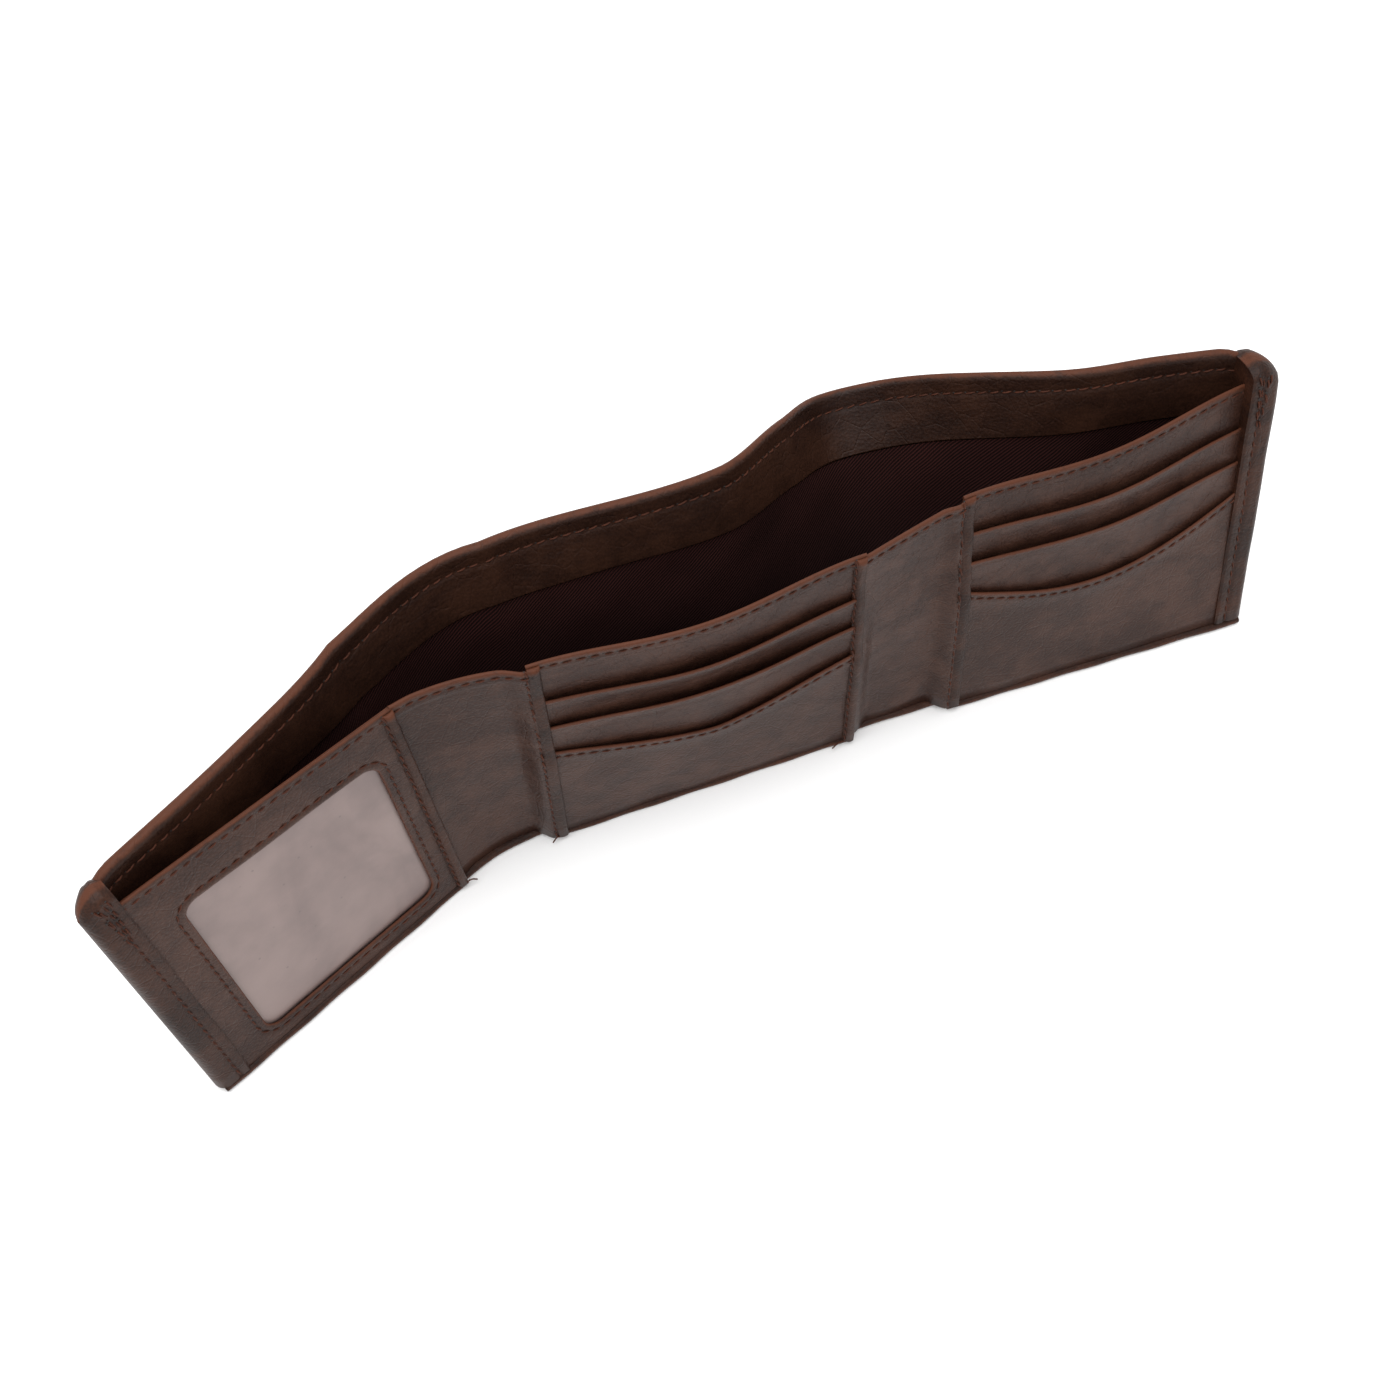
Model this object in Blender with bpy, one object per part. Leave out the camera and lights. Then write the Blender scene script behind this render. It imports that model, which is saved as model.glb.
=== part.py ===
"""Leather trifold wallet, standing open on its long bottom edge.

Metres, +Z up, +X along the centre panel, +Y towards the outer cover. The origin lies on the
floor, in the middle of the centre panel's bottom hem.

Every sheet is laid out in three flat coordinates and then placed on a curved wall:
    s  distance along the wallet from the middle of the centre panel, left is negative
    v  height up the sheet
    d  depth in front of the wall's own face, towards the cards
The inner wall carries the pockets. The outer wall is the cover, which leans away from the inner
wall to leave the note compartment gaping. Pieces that touch keep the clearance GAP.
"""

import math

import bmesh
import bpy
from mathutils import Matrix, Vector

# Overall sizes
PANEL_HEIGHT = 0.088
COVER_HEIGHT = 0.0945
LEFT_WIDTH = 0.078
CENTRE_WIDTH = 0.0908
RIGHT_WIDTH = 0.088
FOLD_WIDTH = 0.030
END_HEM_WIDTH = 0.008

# How the wallet stands: each wing's swing forwards, and how far the walls lean back
LEFT_SWING = math.radians(24.6)
RIGHT_SWING = math.radians(1.8)
LEFT_END_LEAN = math.radians(12.4)
LEFT_FOLD_LEAN = math.radians(9.0)
CENTRE_LEFT_LEAN = math.radians(2.5)
CENTRE_RIGHT_LEAN = math.radians(3.5)
RIGHT_FOLD_LEAN = math.radians(9.0)
RIGHT_END_LEAN = math.radians(17.0)

# How far the cover leans back beyond the inner wall
COVER_LEAN_LEFT_END = math.radians(0.5)
COVER_LEAN_LEFT_WING = math.radians(5.3)
COVER_LEAN_LEFT_FOLD = math.radians(11.0)
COVER_LEAN_CENTRE = math.radians(23.5)
COVER_LEAN_CENTRE_RIGHT = math.radians(35.0)
COVER_LEAN_RIGHT_FOLD = math.radians(42.0)
COVER_LEAN_WING_START = math.radians(37.0)
COVER_LEAN_WING_EARLY = math.radians(22.0)
COVER_LEAN_WING_MIDDLE = math.radians(13.0)
COVER_LEAN_WING_LATE = math.radians(8.0)
COVER_LEAN_RIGHT_END = math.radians(2.5)

# Where some of these leans are met, as shares of the width they lie on
LEFT_WING_SHARE = 0.42
CENTRE_SHARE = 0.45
WING_EARLY_SHARE = 0.28
WING_LATE_SHARE = 0.75

# Thicknesses
GAP = 0.0003
COVER_LEATHER = 0.0014
PANEL_LEATHER = 0.0009
SLOT_LEATHER = 0.0008
FILM = 0.0003
LINING = 0.0004
BAND_LEATHER = 0.0009

# The note compartment and the hems
HEM_HEIGHT = 0.002
HEM_CLEARANCE = 0.0006
COVER_SETBACK = 0.0020
FACING_HEIGHT = 0.0185
FACING_TOP_DROP = 0.001
BAND_WIDTH = 0.0032
BAND_TOP_DROP = 0.0015
DIVIDER_TOP_DROP = 0.004
BACKING_TOP_DROP = 0.002

# Identity window in the left panel
WINDOW_SIDE_LEFT = 0.0115
WINDOW_SIDE_RIGHT = 0.0095
WINDOW_FOOT = 0.0085
WINDOW_HEAD = 0.0150
FILM_OVERLAP = 0.004
WINDOW_RECESS = 0.0004

# Card pockets, each measured down from the panel's top edge
CENTRE_SLOT_DROPS = (0.0165, 0.0280)
CENTRE_POCKET_DROP = 0.0390
CENTRE_POCKET_DIP = 0.0105
CENTRE_POCKET_DIP_AT = 0.003
RIGHT_SLOT_DROPS = (0.0137, 0.0245)
RIGHT_POCKET_DROP = 0.0345
RIGHT_POCKET_SAG = 0.0105

# Room left between the walls of the closed wallet
CLOSING_CLEARANCE = 0.0035

# Mesh spacing along a sheet
STEP = 0.0075

# Places along the wallet
CENTRE_EDGE = CENTRE_WIDTH / 2.0
WING_EDGE = CENTRE_EDGE + FOLD_WIDTH
LEFT_END = -(WING_EDGE + LEFT_WIDTH)
RIGHT_END = WING_EDGE + RIGHT_WIDTH

SHEET_FOOT = HEM_HEIGHT + HEM_CLEARANCE
UP = Vector((0.0, 0.0, 1.0))

MATERIALS = {
    "cover_leather": ((0.075, 0.042, 0.030), 0.42),
    "pocket_leather": ((0.085, 0.055, 0.045), 0.45),
    "turned_edge": ((0.125, 0.055, 0.032), 0.48),
    "twill_lining": ((0.045, 0.018, 0.018), 0.85),
    "clear_film": ((0.42, 0.37, 0.36), 0.25),
}


# ---------------------------------------------------------------- the two walls

def smooth(t):
    """Ease from 0 to 1."""
    return t * t * (3.0 - 2.0 * t)


def flowing(stations, s):
    """Value at s on a smooth curve through (place, value) stations that run left to right."""
    last = len(stations) - 1
    s = min(max(s, stations[0][0]), stations[last][0])
    k = next(i for i in range(last) if s <= stations[i + 1][0])

    def slope(i):
        before, after = stations[max(i - 1, 0)], stations[min(i + 1, last)]
        return (after[1] - before[1]) / (after[0] - before[0])

    (a, low), (b, high) = stations[k], stations[k + 1]
    t = (s - a) / (b - a)
    rise = smooth(t)
    ease_out = t * (1.0 - t) ** 2
    ease_in = -t * t * (1.0 - t)
    return low + (high - low) * rise + (b - a) * (slope(k) * ease_out + slope(k + 1) * ease_in)


def straight(stations, s):
    """Value at s on straight lines between (place, value) stations."""
    if s <= stations[0][0]:
        return stations[0][1]
    for (a, low), (b, high) in zip(stations, stations[1:]):
        if s <= b:
            return low + (high - low) * (s - a) / (b - a)
    return stations[-1][1]


def inner_lean(s):
    """Backward lean of the inner wall: even across the folds, slightly twisted on the wings."""
    return straight(
        [
            (LEFT_END, LEFT_END_LEAN),
            (-WING_EDGE, LEFT_FOLD_LEAN),
            (-CENTRE_EDGE, CENTRE_LEFT_LEAN),
            (CENTRE_EDGE, CENTRE_RIGHT_LEAN),
            (WING_EDGE, RIGHT_FOLD_LEAN),
            (RIGHT_END, RIGHT_END_LEAN),
        ],
        s,
    )


def cover_lean(s):
    """Backward lean of the cover: the inner wall's, and the gape of the note compartment."""
    gape = flowing(
        [
            (LEFT_END, COVER_LEAN_LEFT_END),
            (-WING_EDGE - LEFT_WIDTH * LEFT_WING_SHARE, COVER_LEAN_LEFT_WING),
            (-WING_EDGE, COVER_LEAN_LEFT_FOLD),
            (-CENTRE_EDGE, COVER_LEAN_CENTRE),
            (CENTRE_EDGE * CENTRE_SHARE, COVER_LEAN_CENTRE),
            (CENTRE_EDGE, COVER_LEAN_CENTRE_RIGHT),
            (CENTRE_EDGE + FOLD_WIDTH / 2.0, COVER_LEAN_RIGHT_FOLD),
            (WING_EDGE, COVER_LEAN_WING_START),
            (WING_EDGE + RIGHT_WIDTH * WING_EARLY_SHARE, COVER_LEAN_WING_EARLY),
            (WING_EDGE + RIGHT_WIDTH / 2.0, COVER_LEAN_WING_MIDDLE),
            (WING_EDGE + RIGHT_WIDTH * WING_LATE_SHARE, COVER_LEAN_WING_LATE),
            (RIGHT_END, COVER_LEAN_RIGHT_END),
        ],
        s,
    )
    return inner_lean(s) + gape


def plan(s):
    """Foot of the wall at s, and the wall's front direction there."""
    side = 1.0 if s >= 0.0 else -1.0
    swing = RIGHT_SWING if s >= 0.0 else LEFT_SWING
    reach = abs(s)
    x = min(reach, CENTRE_EDGE)
    y = 0.0
    turned = 0.0
    if reach > CENTRE_EDGE:
        along = min(reach - CENTRE_EDGE, FOLD_WIDTH)
        turned = swing * along / FOLD_WIDTH
        half = turned / 2.0
        chord = along * (math.sin(half) / half if half > 0.0 else 1.0)
        x += chord * math.cos(half)
        y -= chord * math.sin(half)
    if reach > WING_EDGE:
        x += (reach - WING_EDGE) * math.cos(swing)
        y -= (reach - WING_EDGE) * math.sin(swing)
    front = Vector((-side * math.sin(turned), -math.cos(turned), 0.0))
    return Vector((side * x, y, 0.0)), front


def on_wall(foot, front, lean, v, d):
    """A point v up and d in front of a wall that leans back."""
    rise = UP * math.cos(lean) - front * math.sin(lean)
    face = front * math.cos(lean) + UP * math.sin(lean)
    return foot + rise * v + face * d


def inner(s, v, d):
    foot, front = plan(s)
    return on_wall(foot, front, inner_lean(s), v, d)


def cover(s, v, d):
    foot, front = plan(s)
    return on_wall(foot - front * COVER_SETBACK, front, cover_lean(s), v, d)


def upright(s, v, d):
    foot, front = plan(s)
    return on_wall(foot, front, 0.0, v, d)


def above_hem(lean, behind):
    """Height up a leaning sheet at which its back edge, behind the wall's face, clears the hem."""
    return (HEM_HEIGHT + HEM_CLEARANCE + behind * math.sin(lean)) / math.cos(lean)


def cover_foot(s):
    return above_hem(cover_lean(s), COVER_LEATHER)


def end_hem_foot(s):
    return above_hem(inner_lean(s), COVER_SETBACK + COVER_LEATHER)


# ---------------------------------------------------------------- sheets as closed meshes

def marks(start, end, *extra):
    """Places from start to end, about STEP apart, that include the extra ones in between."""
    stops = [start] + sorted(e for e in extra if start < e < end) + [end]
    found = [start]
    for a, b in zip(stops, stops[1:]):
        count = max(1, math.ceil((b - a) / STEP))
        found += [a + (b - a) * (i + 1) / count for i in range(count)]
    return found


def plate(name, wall, columns, rows, back, front, material, hole=None):
    """A sheet between depths back and front. rows are heights, or functions of s that give them.

    hole is a (column range, row range) pair of cells left out.
    """
    heights = [row if callable(row) else (lambda s, fixed=row: fixed) for row in rows]
    mesh = bmesh.new()
    corners = {}

    def corner(i, j, depth):
        key = (i, j, depth)
        if key not in corners:
            corners[key] = mesh.verts.new(wall(columns[i], heights[j](columns[i]), depth))
        return corners[key]

    def filled(i, j):
        if not (0 <= i < len(columns) - 1 and 0 <= j < len(rows) - 1):
            return False
        return hole is None or not (i in hole[0] and j in hole[1])

    for i in range(len(columns) - 1):
        for j in range(len(rows) - 1):
            if not filled(i, j):
                continue
            loop = [(i, j), (i + 1, j), (i + 1, j + 1), (i, j + 1)]
            for half in (loop[:3], [loop[0], loop[2], loop[3]]):
                mesh.faces.new([corner(a, b, front) for a, b in half])
                mesh.faces.new([corner(a, b, back) for a, b in reversed(half)])
            beyond = [(i, j - 1), (i + 1, j), (i, j + 1), (i - 1, j)]
            for k, cell in enumerate(beyond):
                if filled(*cell):
                    continue
                (a, b), (p, q) = loop[k], loop[(k + 1) % 4]
                mesh.faces.new(
                    [corner(a, b, back), corner(p, q, back), corner(p, q, front), corner(a, b, front)]
                )
    bmesh.ops.recalc_face_normals(mesh, faces=mesh.faces)
    data = bpy.data.meshes.new(name)
    mesh.to_mesh(data)
    mesh.free()
    piece = bpy.data.objects.new(name, data)
    bpy.context.scene.collection.objects.link(piece)
    data.materials.append(finish(material))
    return piece


def finish(name):
    """The named Principled material, made once."""
    if name in bpy.data.materials:
        return bpy.data.materials[name]
    colour, roughness = MATERIALS[name]
    material = bpy.data.materials.new(name)
    material.use_nodes = True
    shader = material.node_tree.nodes["Principled BSDF"]
    shader.inputs["Base Color"].default_value = (*colour, 1.0)
    shader.inputs["Roughness"].default_value = roughness
    shader.inputs["Metallic"].default_value = 0.0
    return material


# ---------------------------------------------------------------- regions of the wallet

REGIONS = {
    "left": (LEFT_END, -WING_EDGE),
    "fold_left": (-WING_EDGE, -CENTRE_EDGE),
    "centre": (-CENTRE_EDGE, CENTRE_EDGE),
    "fold_right": (CENTRE_EDGE, WING_EDGE),
    "right": (WING_EDGE, RIGHT_END),
}


def span(region):
    """The region's places, with half a clearance kept at each end."""
    start, end = REGIONS[region]
    return start + GAP / 2.0, end - GAP / 2.0


def cover_sheets(region):
    """The outer leather, the leather facing inside its rim and the twill lining below that."""
    columns = marks(*span(region))
    facing_foot = COVER_HEIGHT - FACING_TOP_DROP - FACING_HEIGHT
    outer = plate(
        f"cover_{region}", cover, columns, [cover_foot, facing_foot, COVER_HEIGHT],
        -COVER_LEATHER, 0.0, "cover_leather",
    )
    facing = plate(
        f"facing_{region}", cover, columns, [facing_foot, COVER_HEIGHT - FACING_TOP_DROP],
        GAP, GAP + SLOT_LEATHER, "cover_leather",
    )
    lining = plate(
        f"lining_{region}", cover, columns, [cover_foot, facing_foot - GAP], GAP, GAP + LINING,
        "twill_lining",
    )
    return [outer, facing, lining]


def divider(region):
    """Twill on the back of an inner panel, the front wall of the note compartment."""
    return plate(
        f"divider_{region}", inner, marks(*span(region)),
        [SHEET_FOOT, PANEL_HEIGHT - DIVIDER_TOP_DROP], -GAP - LINING, -GAP, "twill_lining",
    )


def bottom_hem(region, depth, lift=0.0):
    """The turned hem that closes the sheets along the floor."""
    start, end = span(region)
    start -= END_HEM_WIDTH if region == "left" else 0.0
    end += END_HEM_WIDTH if region == "right" else 0.0
    back = -(COVER_SETBACK + COVER_LEATHER)
    return plate(
        f"bottom_hem_{region}", upright, marks(start, end), [lift, HEM_HEIGHT], back, depth,
        "turned_edge",
    )


def end_hem(name, start, end, depth):
    """The cover's end, turned over the panel's edge and stitched down."""
    back = -(COVER_SETBACK + COVER_LEATHER)
    return plate(
        name, inner, [start, end], [end_hem_foot, COVER_HEIGHT], back, depth, "turned_edge"
    )


def stack_depth(layers):
    """Front face of a stack of pockets: the panel and a number of sheets on it."""
    return PANEL_LEATHER + layers * (GAP + SLOT_LEATHER)


def panel_sheet(name, region, height):
    return plate(
        name, inner, marks(*span(region)), [SHEET_FOOT, height], 0.0, PANEL_LEATHER,
        "pocket_leather",
    )


def pocket_sheet(name, region, layer, top, *bends):
    """One pocket sheet: layer counts from the panel outwards, top is a height or a curve."""
    back = stack_depth(layer) + GAP
    return plate(
        name, inner, marks(*span(region), *bends), [SHEET_FOOT, top], back, back + SLOT_LEATHER,
        "pocket_leather",
    )


def centre_pocket_top(s):
    """Top edge of the centre pocket: two straight runs down to a shallow point."""
    reach = (s - CENTRE_POCKET_DIP_AT) / (CENTRE_EDGE - math.copysign(CENTRE_POCKET_DIP_AT, s))
    dip = CENTRE_POCKET_DIP * (1.0 - min(abs(reach), 1.0))
    return PANEL_HEIGHT - CENTRE_POCKET_DROP - dip


def right_pocket_top(s):
    """Top edge of the right pocket: one hollow curve."""
    middle = WING_EDGE + RIGHT_WIDTH / 2.0
    reach = (s - middle) / (RIGHT_WIDTH / 2.0)
    return PANEL_HEIGHT - RIGHT_POCKET_DROP - RIGHT_POCKET_SAG * (1.0 - reach * reach)


def seam_band(name, start, end, back):
    """The folded edge of a fold strip, stitched over the panel next to it."""
    return plate(
        name, inner, [start, end], [SHEET_FOOT, PANEL_HEIGHT - BAND_TOP_DROP], back,
        back + BAND_LEATHER, "turned_edge",
    )


def fold_strip(region):
    """The plain strip that the inner wall folds on."""
    return plate(
        f"gusset_{region}", inner, marks(*span(region)),
        [SHEET_FOOT, PANEL_HEIGHT - BAND_TOP_DROP], 0.0, PANEL_LEATHER, "pocket_leather",
    )


# ---------------------------------------------------------------- the sub-assemblies

FRAME_BACK = PANEL_LEATHER + GAP + FILM + WINDOW_RECESS
LEFT_STACK = FRAME_BACK + PANEL_LEATHER
CENTRE_STACK = stack_depth(len(CENTRE_SLOT_DROPS) + 1)
RIGHT_STACK = stack_depth(len(RIGHT_SLOT_DROPS) + 1)


def left_panel():
    """The identity window: backing, clear film and the leather frame round it."""
    start, end = span("left")
    low = LEFT_END + WINDOW_SIDE_LEFT
    high = -WING_EDGE - WINDOW_SIDE_RIGHT
    foot, head = WINDOW_FOOT, PANEL_HEIGHT - WINDOW_HEAD
    columns = marks(start, end, low, high)
    inside = range(columns.index(low), columns.index(high))
    frame = plate(
        "id_frame", inner, columns, [SHEET_FOOT, foot, head, PANEL_HEIGHT], FRAME_BACK,
        FRAME_BACK + PANEL_LEATHER, "pocket_leather", hole=(inside, range(1, 2)),
    )
    film = plate(
        "id_window_film", inner, marks(low - FILM_OVERLAP, high + FILM_OVERLAP),
        [foot - FILM_OVERLAP, head + FILM_OVERLAP], PANEL_LEATHER + GAP,
        PANEL_LEATHER + GAP + FILM, "clear_film",
    )
    band_back = LEFT_STACK + GAP
    pieces = [panel_sheet("id_backing", "left", PANEL_HEIGHT - BACKING_TOP_DROP), film, frame]
    pieces.append(seam_band("seam_band_left_wing", end - BAND_WIDTH, end, band_back))
    return pieces


def centre_panel():
    """The centre panel with two card slots and a pocket with a pointed edge."""
    pieces = [panel_sheet("centre_panel", "centre", PANEL_HEIGHT)]
    for layer, drop in enumerate(CENTRE_SLOT_DROPS):
        top = PANEL_HEIGHT - drop
        pieces.append(pocket_sheet(f"centre_slot_{layer + 1}", "centre", layer, top))
    pieces.append(
        pocket_sheet(
            "centre_pocket", "centre", len(CENTRE_SLOT_DROPS), centre_pocket_top,
            CENTRE_POCKET_DIP_AT,
        )
    )
    start, end = span("centre")
    band_back = CENTRE_STACK + GAP
    pieces.append(seam_band("seam_band_centre_left", start, start + BAND_WIDTH, band_back))
    pieces.append(seam_band("seam_band_centre_right", end - BAND_WIDTH, end, band_back))
    return pieces


def right_panel():
    """The right panel with two card slots and a pocket with a hollow edge."""
    pieces = [panel_sheet("right_panel", "right", PANEL_HEIGHT)]
    for layer, drop in enumerate(RIGHT_SLOT_DROPS):
        top = PANEL_HEIGHT - drop
        pieces.append(pocket_sheet(f"right_slot_{layer + 1}", "right", layer, top))
    pieces.append(
        pocket_sheet("right_pocket", "right", len(RIGHT_SLOT_DROPS), right_pocket_top)
    )
    start, _ = span("right")
    band_back = RIGHT_STACK + GAP
    pieces.append(seam_band("seam_band_right_wing", start, start + BAND_WIDTH, band_back))
    return pieces


# ---------------------------------------------------------------- how it folds shut

LEFT_CLOSED = CENTRE_STACK + LEFT_STACK + 2.0 * (GAP + BAND_LEATHER) + CLOSING_CLEARANCE
COVER_STACK = COVER_SETBACK + COVER_LEATHER + GAP + SLOT_LEATHER
RIGHT_CLOSED = (
    LEFT_CLOSED + COVER_STACK + RIGHT_STACK + GAP + BAND_LEATHER + 2.0 * CLOSING_CLEARANCE
)


def frame_at(origin, along, rise):
    """A right-handed frame as a matrix: along, rise and their normal."""
    along = along.normalized()
    normal = along.cross(rise).normalized()
    rise = normal.cross(along)
    matrix = Matrix((along, rise, normal)).transposed().to_4x4()
    matrix.translation = origin
    return matrix


def wall_frame(wall, s, along_step):
    """The wall's frame at s: along it, up it, and out of its face."""
    foot = wall(s, 0.0, 0.0)
    along = wall(s + along_step, 0.0, 0.0) - foot
    return frame_at(foot, along, wall(s, COVER_HEIGHT, 0.0) - foot)


def hinge_of(move):
    """The axis point, direction and angle of a movement's turn; its slide along the axis is left out."""
    turn = move.to_quaternion()
    axis, angle = turn.to_axis_angle()
    if angle > math.pi:
        axis, angle = -axis, 2.0 * math.pi - angle
    shift = move.translation - axis * move.translation.dot(axis)
    point = (shift + axis.cross(shift) / math.tan(angle / 2.0)) / 2.0
    if abs(axis.z) > abs(axis.x):
        point -= axis * (point.z / axis.z)
    return point, axis, angle


def wing_closing(side, width, depth):
    """The movement that lays a wing over the centre panel, depth in front of it."""
    middle = side * (WING_EDGE + width / 2.0)
    rest = wall_frame(inner, middle, side * STEP)
    centre = wall_frame(inner, 0.0, -side * STEP)
    foot = Vector((side * (CENTRE_EDGE - width / 2.0), -depth, 0.0))
    rise = Vector((centre[0][1], centre[1][1], centre[2][1]))
    shut = frame_at(foot, Vector((-side, 0.0, 0.0)), rise)
    return shut @ rest.inverted()


def turn_about(hinge):
    """The movement that a hinge makes when it closes fully."""
    point, axis, angle = hinge
    turn = Matrix.Rotation(angle, 4, axis)
    return Matrix.Translation(point) @ turn @ Matrix.Translation(-point)


def laid_flat(s, along_step):
    """The turn about the cover's foot at s that lays it against the inner wall."""
    rest = wall_frame(cover, s, along_step)
    flat = wall_frame(inner, s, along_step)
    flat.translation = rest.translation
    return flat @ rest.inverted()


def side_hinges(side, width, depth):
    """One side's hinges. The wing turns on the first, and the cover on the other three in a chain.

    lift draws the cover against the back of the centre panel, wrap carries it round the fold, and
    tip ends exactly where the wing ends, because cover and wing are sewn together there.
    """
    wing = hinge_of(wing_closing(side, width, depth))
    lift = hinge_of(laid_flat(side * CENTRE_EDGE, STEP))
    lifted = turn_about(lift)
    wrapped = turn_about(wing) @ laid_flat(side * WING_EDGE, side * STEP)
    wrap = hinge_of(lifted.inverted() @ wrapped)
    chain = lifted @ turn_about(wrap)
    tip = hinge_of(chain.inverted() @ turn_about(wing))
    return {"fold": wing, "lift": lift, "wrap": wrap, "tip": tip}


def hinges():
    """Every joint's axis point, direction and closing angle, by joint name."""
    sides = {
        "left": side_hinges(-1.0, LEFT_WIDTH, LEFT_CLOSED),
        "right": side_hinges(1.0, RIGHT_WIDTH, RIGHT_CLOSED),
    }
    return {
        f"{side}_{joint}": hinge
        for side, found in sides.items()
        for joint, hinge in found.items()
    }


def hang_on(joint, pieces):
    """Parent pieces to an empty that lies on their joint's axis, without moving them."""
    point, axis, _ = hinges()[joint]
    pivot = bpy.data.objects.new(joint, None)
    pivot.rotation_mode = "QUATERNION"
    pivot.rotation_quaternion = UP.rotation_difference(axis)
    pivot.location = point
    bpy.context.scene.collection.objects.link(pivot)
    bpy.context.view_layer.update()
    for piece in pieces:
        piece.parent = pivot
        piece.matrix_parent_inverse = pivot.matrix_world.inverted()


# ---------------------------------------------------------------- the wallet

def clear_scene():
    for thing in list(bpy.data.objects):
        bpy.data.objects.remove(thing, do_unlink=True)


def left_wing():
    hem = end_hem("end_hem_left", LEFT_END - END_HEM_WIDTH, LEFT_END - GAP / 2.0, LEFT_STACK)
    return left_panel() + [divider("left"), bottom_hem("left", LEFT_STACK), hem]


def right_wing():
    hem = end_hem("end_hem_right", RIGHT_END + GAP / 2.0, RIGHT_END + END_HEM_WIDTH, RIGHT_STACK)
    return right_panel() + [divider("right"), bottom_hem("right", RIGHT_STACK), hem]


def middle():
    """What stands still: the centre panel and its part of the cover, and the foot of each fold."""
    centre_panel()
    cover_sheets("centre")
    divider("centre")
    bottom_hem("centre", CENTRE_STACK)
    for fold in ("fold_left", "fold_right"):
        fold_strip(fold)
        bottom_hem(fold, PANEL_LEATHER, HEM_CLEARANCE)


def build():
    clear_scene()
    middle()
    wings = {"left": left_wing(), "right": right_wing()}
    for side, wing in wings.items():
        wing_cover, wing_facing, wing_lining = cover_sheets(side)
        fold_cover, fold_facing, fold_lining = cover_sheets(f"fold_{side}")
        hang_on(f"{side}_fold", wing + [wing_cover, wing_facing])
        hang_on(f"{side}_lift", [fold_lining])
        hang_on(f"{side}_wrap", [fold_cover, fold_facing])
        hang_on(f"{side}_tip", [wing_lining])


if __name__ == "__main__":
    build()
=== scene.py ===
import math

import bmesh
import bpy
import numpy as np
from bpy.props import FloatProperty, FloatVectorProperty, PointerProperty
from mathutils import Euler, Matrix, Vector


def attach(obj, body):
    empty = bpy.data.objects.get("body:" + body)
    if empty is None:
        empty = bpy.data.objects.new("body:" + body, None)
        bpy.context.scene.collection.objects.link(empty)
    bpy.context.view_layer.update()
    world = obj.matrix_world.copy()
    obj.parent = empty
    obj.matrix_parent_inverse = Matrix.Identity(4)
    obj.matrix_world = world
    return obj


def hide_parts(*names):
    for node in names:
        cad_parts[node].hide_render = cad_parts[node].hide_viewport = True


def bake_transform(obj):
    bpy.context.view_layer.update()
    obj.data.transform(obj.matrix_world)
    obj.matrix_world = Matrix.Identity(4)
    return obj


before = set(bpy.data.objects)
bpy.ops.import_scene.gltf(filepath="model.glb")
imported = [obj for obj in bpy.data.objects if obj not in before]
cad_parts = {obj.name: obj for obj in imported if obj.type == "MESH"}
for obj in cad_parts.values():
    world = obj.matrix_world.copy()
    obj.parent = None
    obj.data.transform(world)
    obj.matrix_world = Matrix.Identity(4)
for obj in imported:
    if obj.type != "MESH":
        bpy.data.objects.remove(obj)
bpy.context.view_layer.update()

bl_info = {
    "name": "Trifold wallet",
    "version": (1, 0, 0),
    "blender": (4, 5, 0),
    "location": "View3D > Sidebar > Wallet",
    "description": "Builds a standing open leather trifold wallet, sheet by sheet and stitch by stitch",
    "category": "Object",
}

# The sheets of card pockets on a panel, from the back: two slots and the front pocket
POCKET_SHEETS = 3
# A rolled edge is rounded over at most this height
ROLL_HEIGHT = 0.0027
# Its rubbing spreads by the sheet's own reach and at most this much more
WORN_HEIGHT = 0.0010
# Points round a rolled edge, from its front to its back
ROLL_STEPS = 8
# Rows of points under the roll, from the lowest up, as millimetres and then metres down from it
FINE_ROWS_MM = np.concatenate([np.arange(0.0, 3.2, 0.4), np.arange(3.2, 7.6, 0.55), [8.5, 10.0, 12.5]])
FINE_ROWS = FINE_ROWS_MM[::-1] * 0.001
# Widest spacing of the rows below those, of the columns along a sheet, and along a row of stitches
PLAIN_ROW = 0.005
COLUMN = 0.0025
ROW_STEP = 0.0015
# A sheet's mottling differs from its neighbours' by this shift of the pattern
PATTERN_SHIFT = 0.07

# The two sides, and which way each lies along the wallet
SIDES = (("left", -1.0), ("right", 1.0))
# Where the cover's lean is given, as a share of the left wing, half the centre and the right wing
LEFT_WING_SHARE = 0.42
CENTRE_SHARE = 0.45
WING_EARLY_SHARE = 0.28
WING_LATE_SHARE = 0.75
# Where along each wing, as a share of its width, the cover's bend is given to end; nothing bends the
# cover by it
SETTLED = {"left": 0.58, "right": 0.54}

# The cover's rim stands this far above the facing inside it
FACING_TOP_DROP = 0.001
# Rows of stitches: up an end hem from the panel's end, up a folding strip from its right edge, and
# up a ridge from its left edge
HEM_ROW = 0.0016
STRIP_ROW = 0.0004
RIDGE_ROW = 0.0004
# A folded ridge is this much thicker than the leather it is folded from
RIDGE_EXTRA = 0.0002
# The front lining and the window's backing end this far below the panels' top
DIVIDER_DROP = 0.004
BACKING_DROP = 0.002
# The foot hem stands this far out in front of the sheets, and ends this far inside the end hems
FOOT_HEM_PROUD = 0.0004
FOOT_HEM_SHORT = 0.0012
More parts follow.
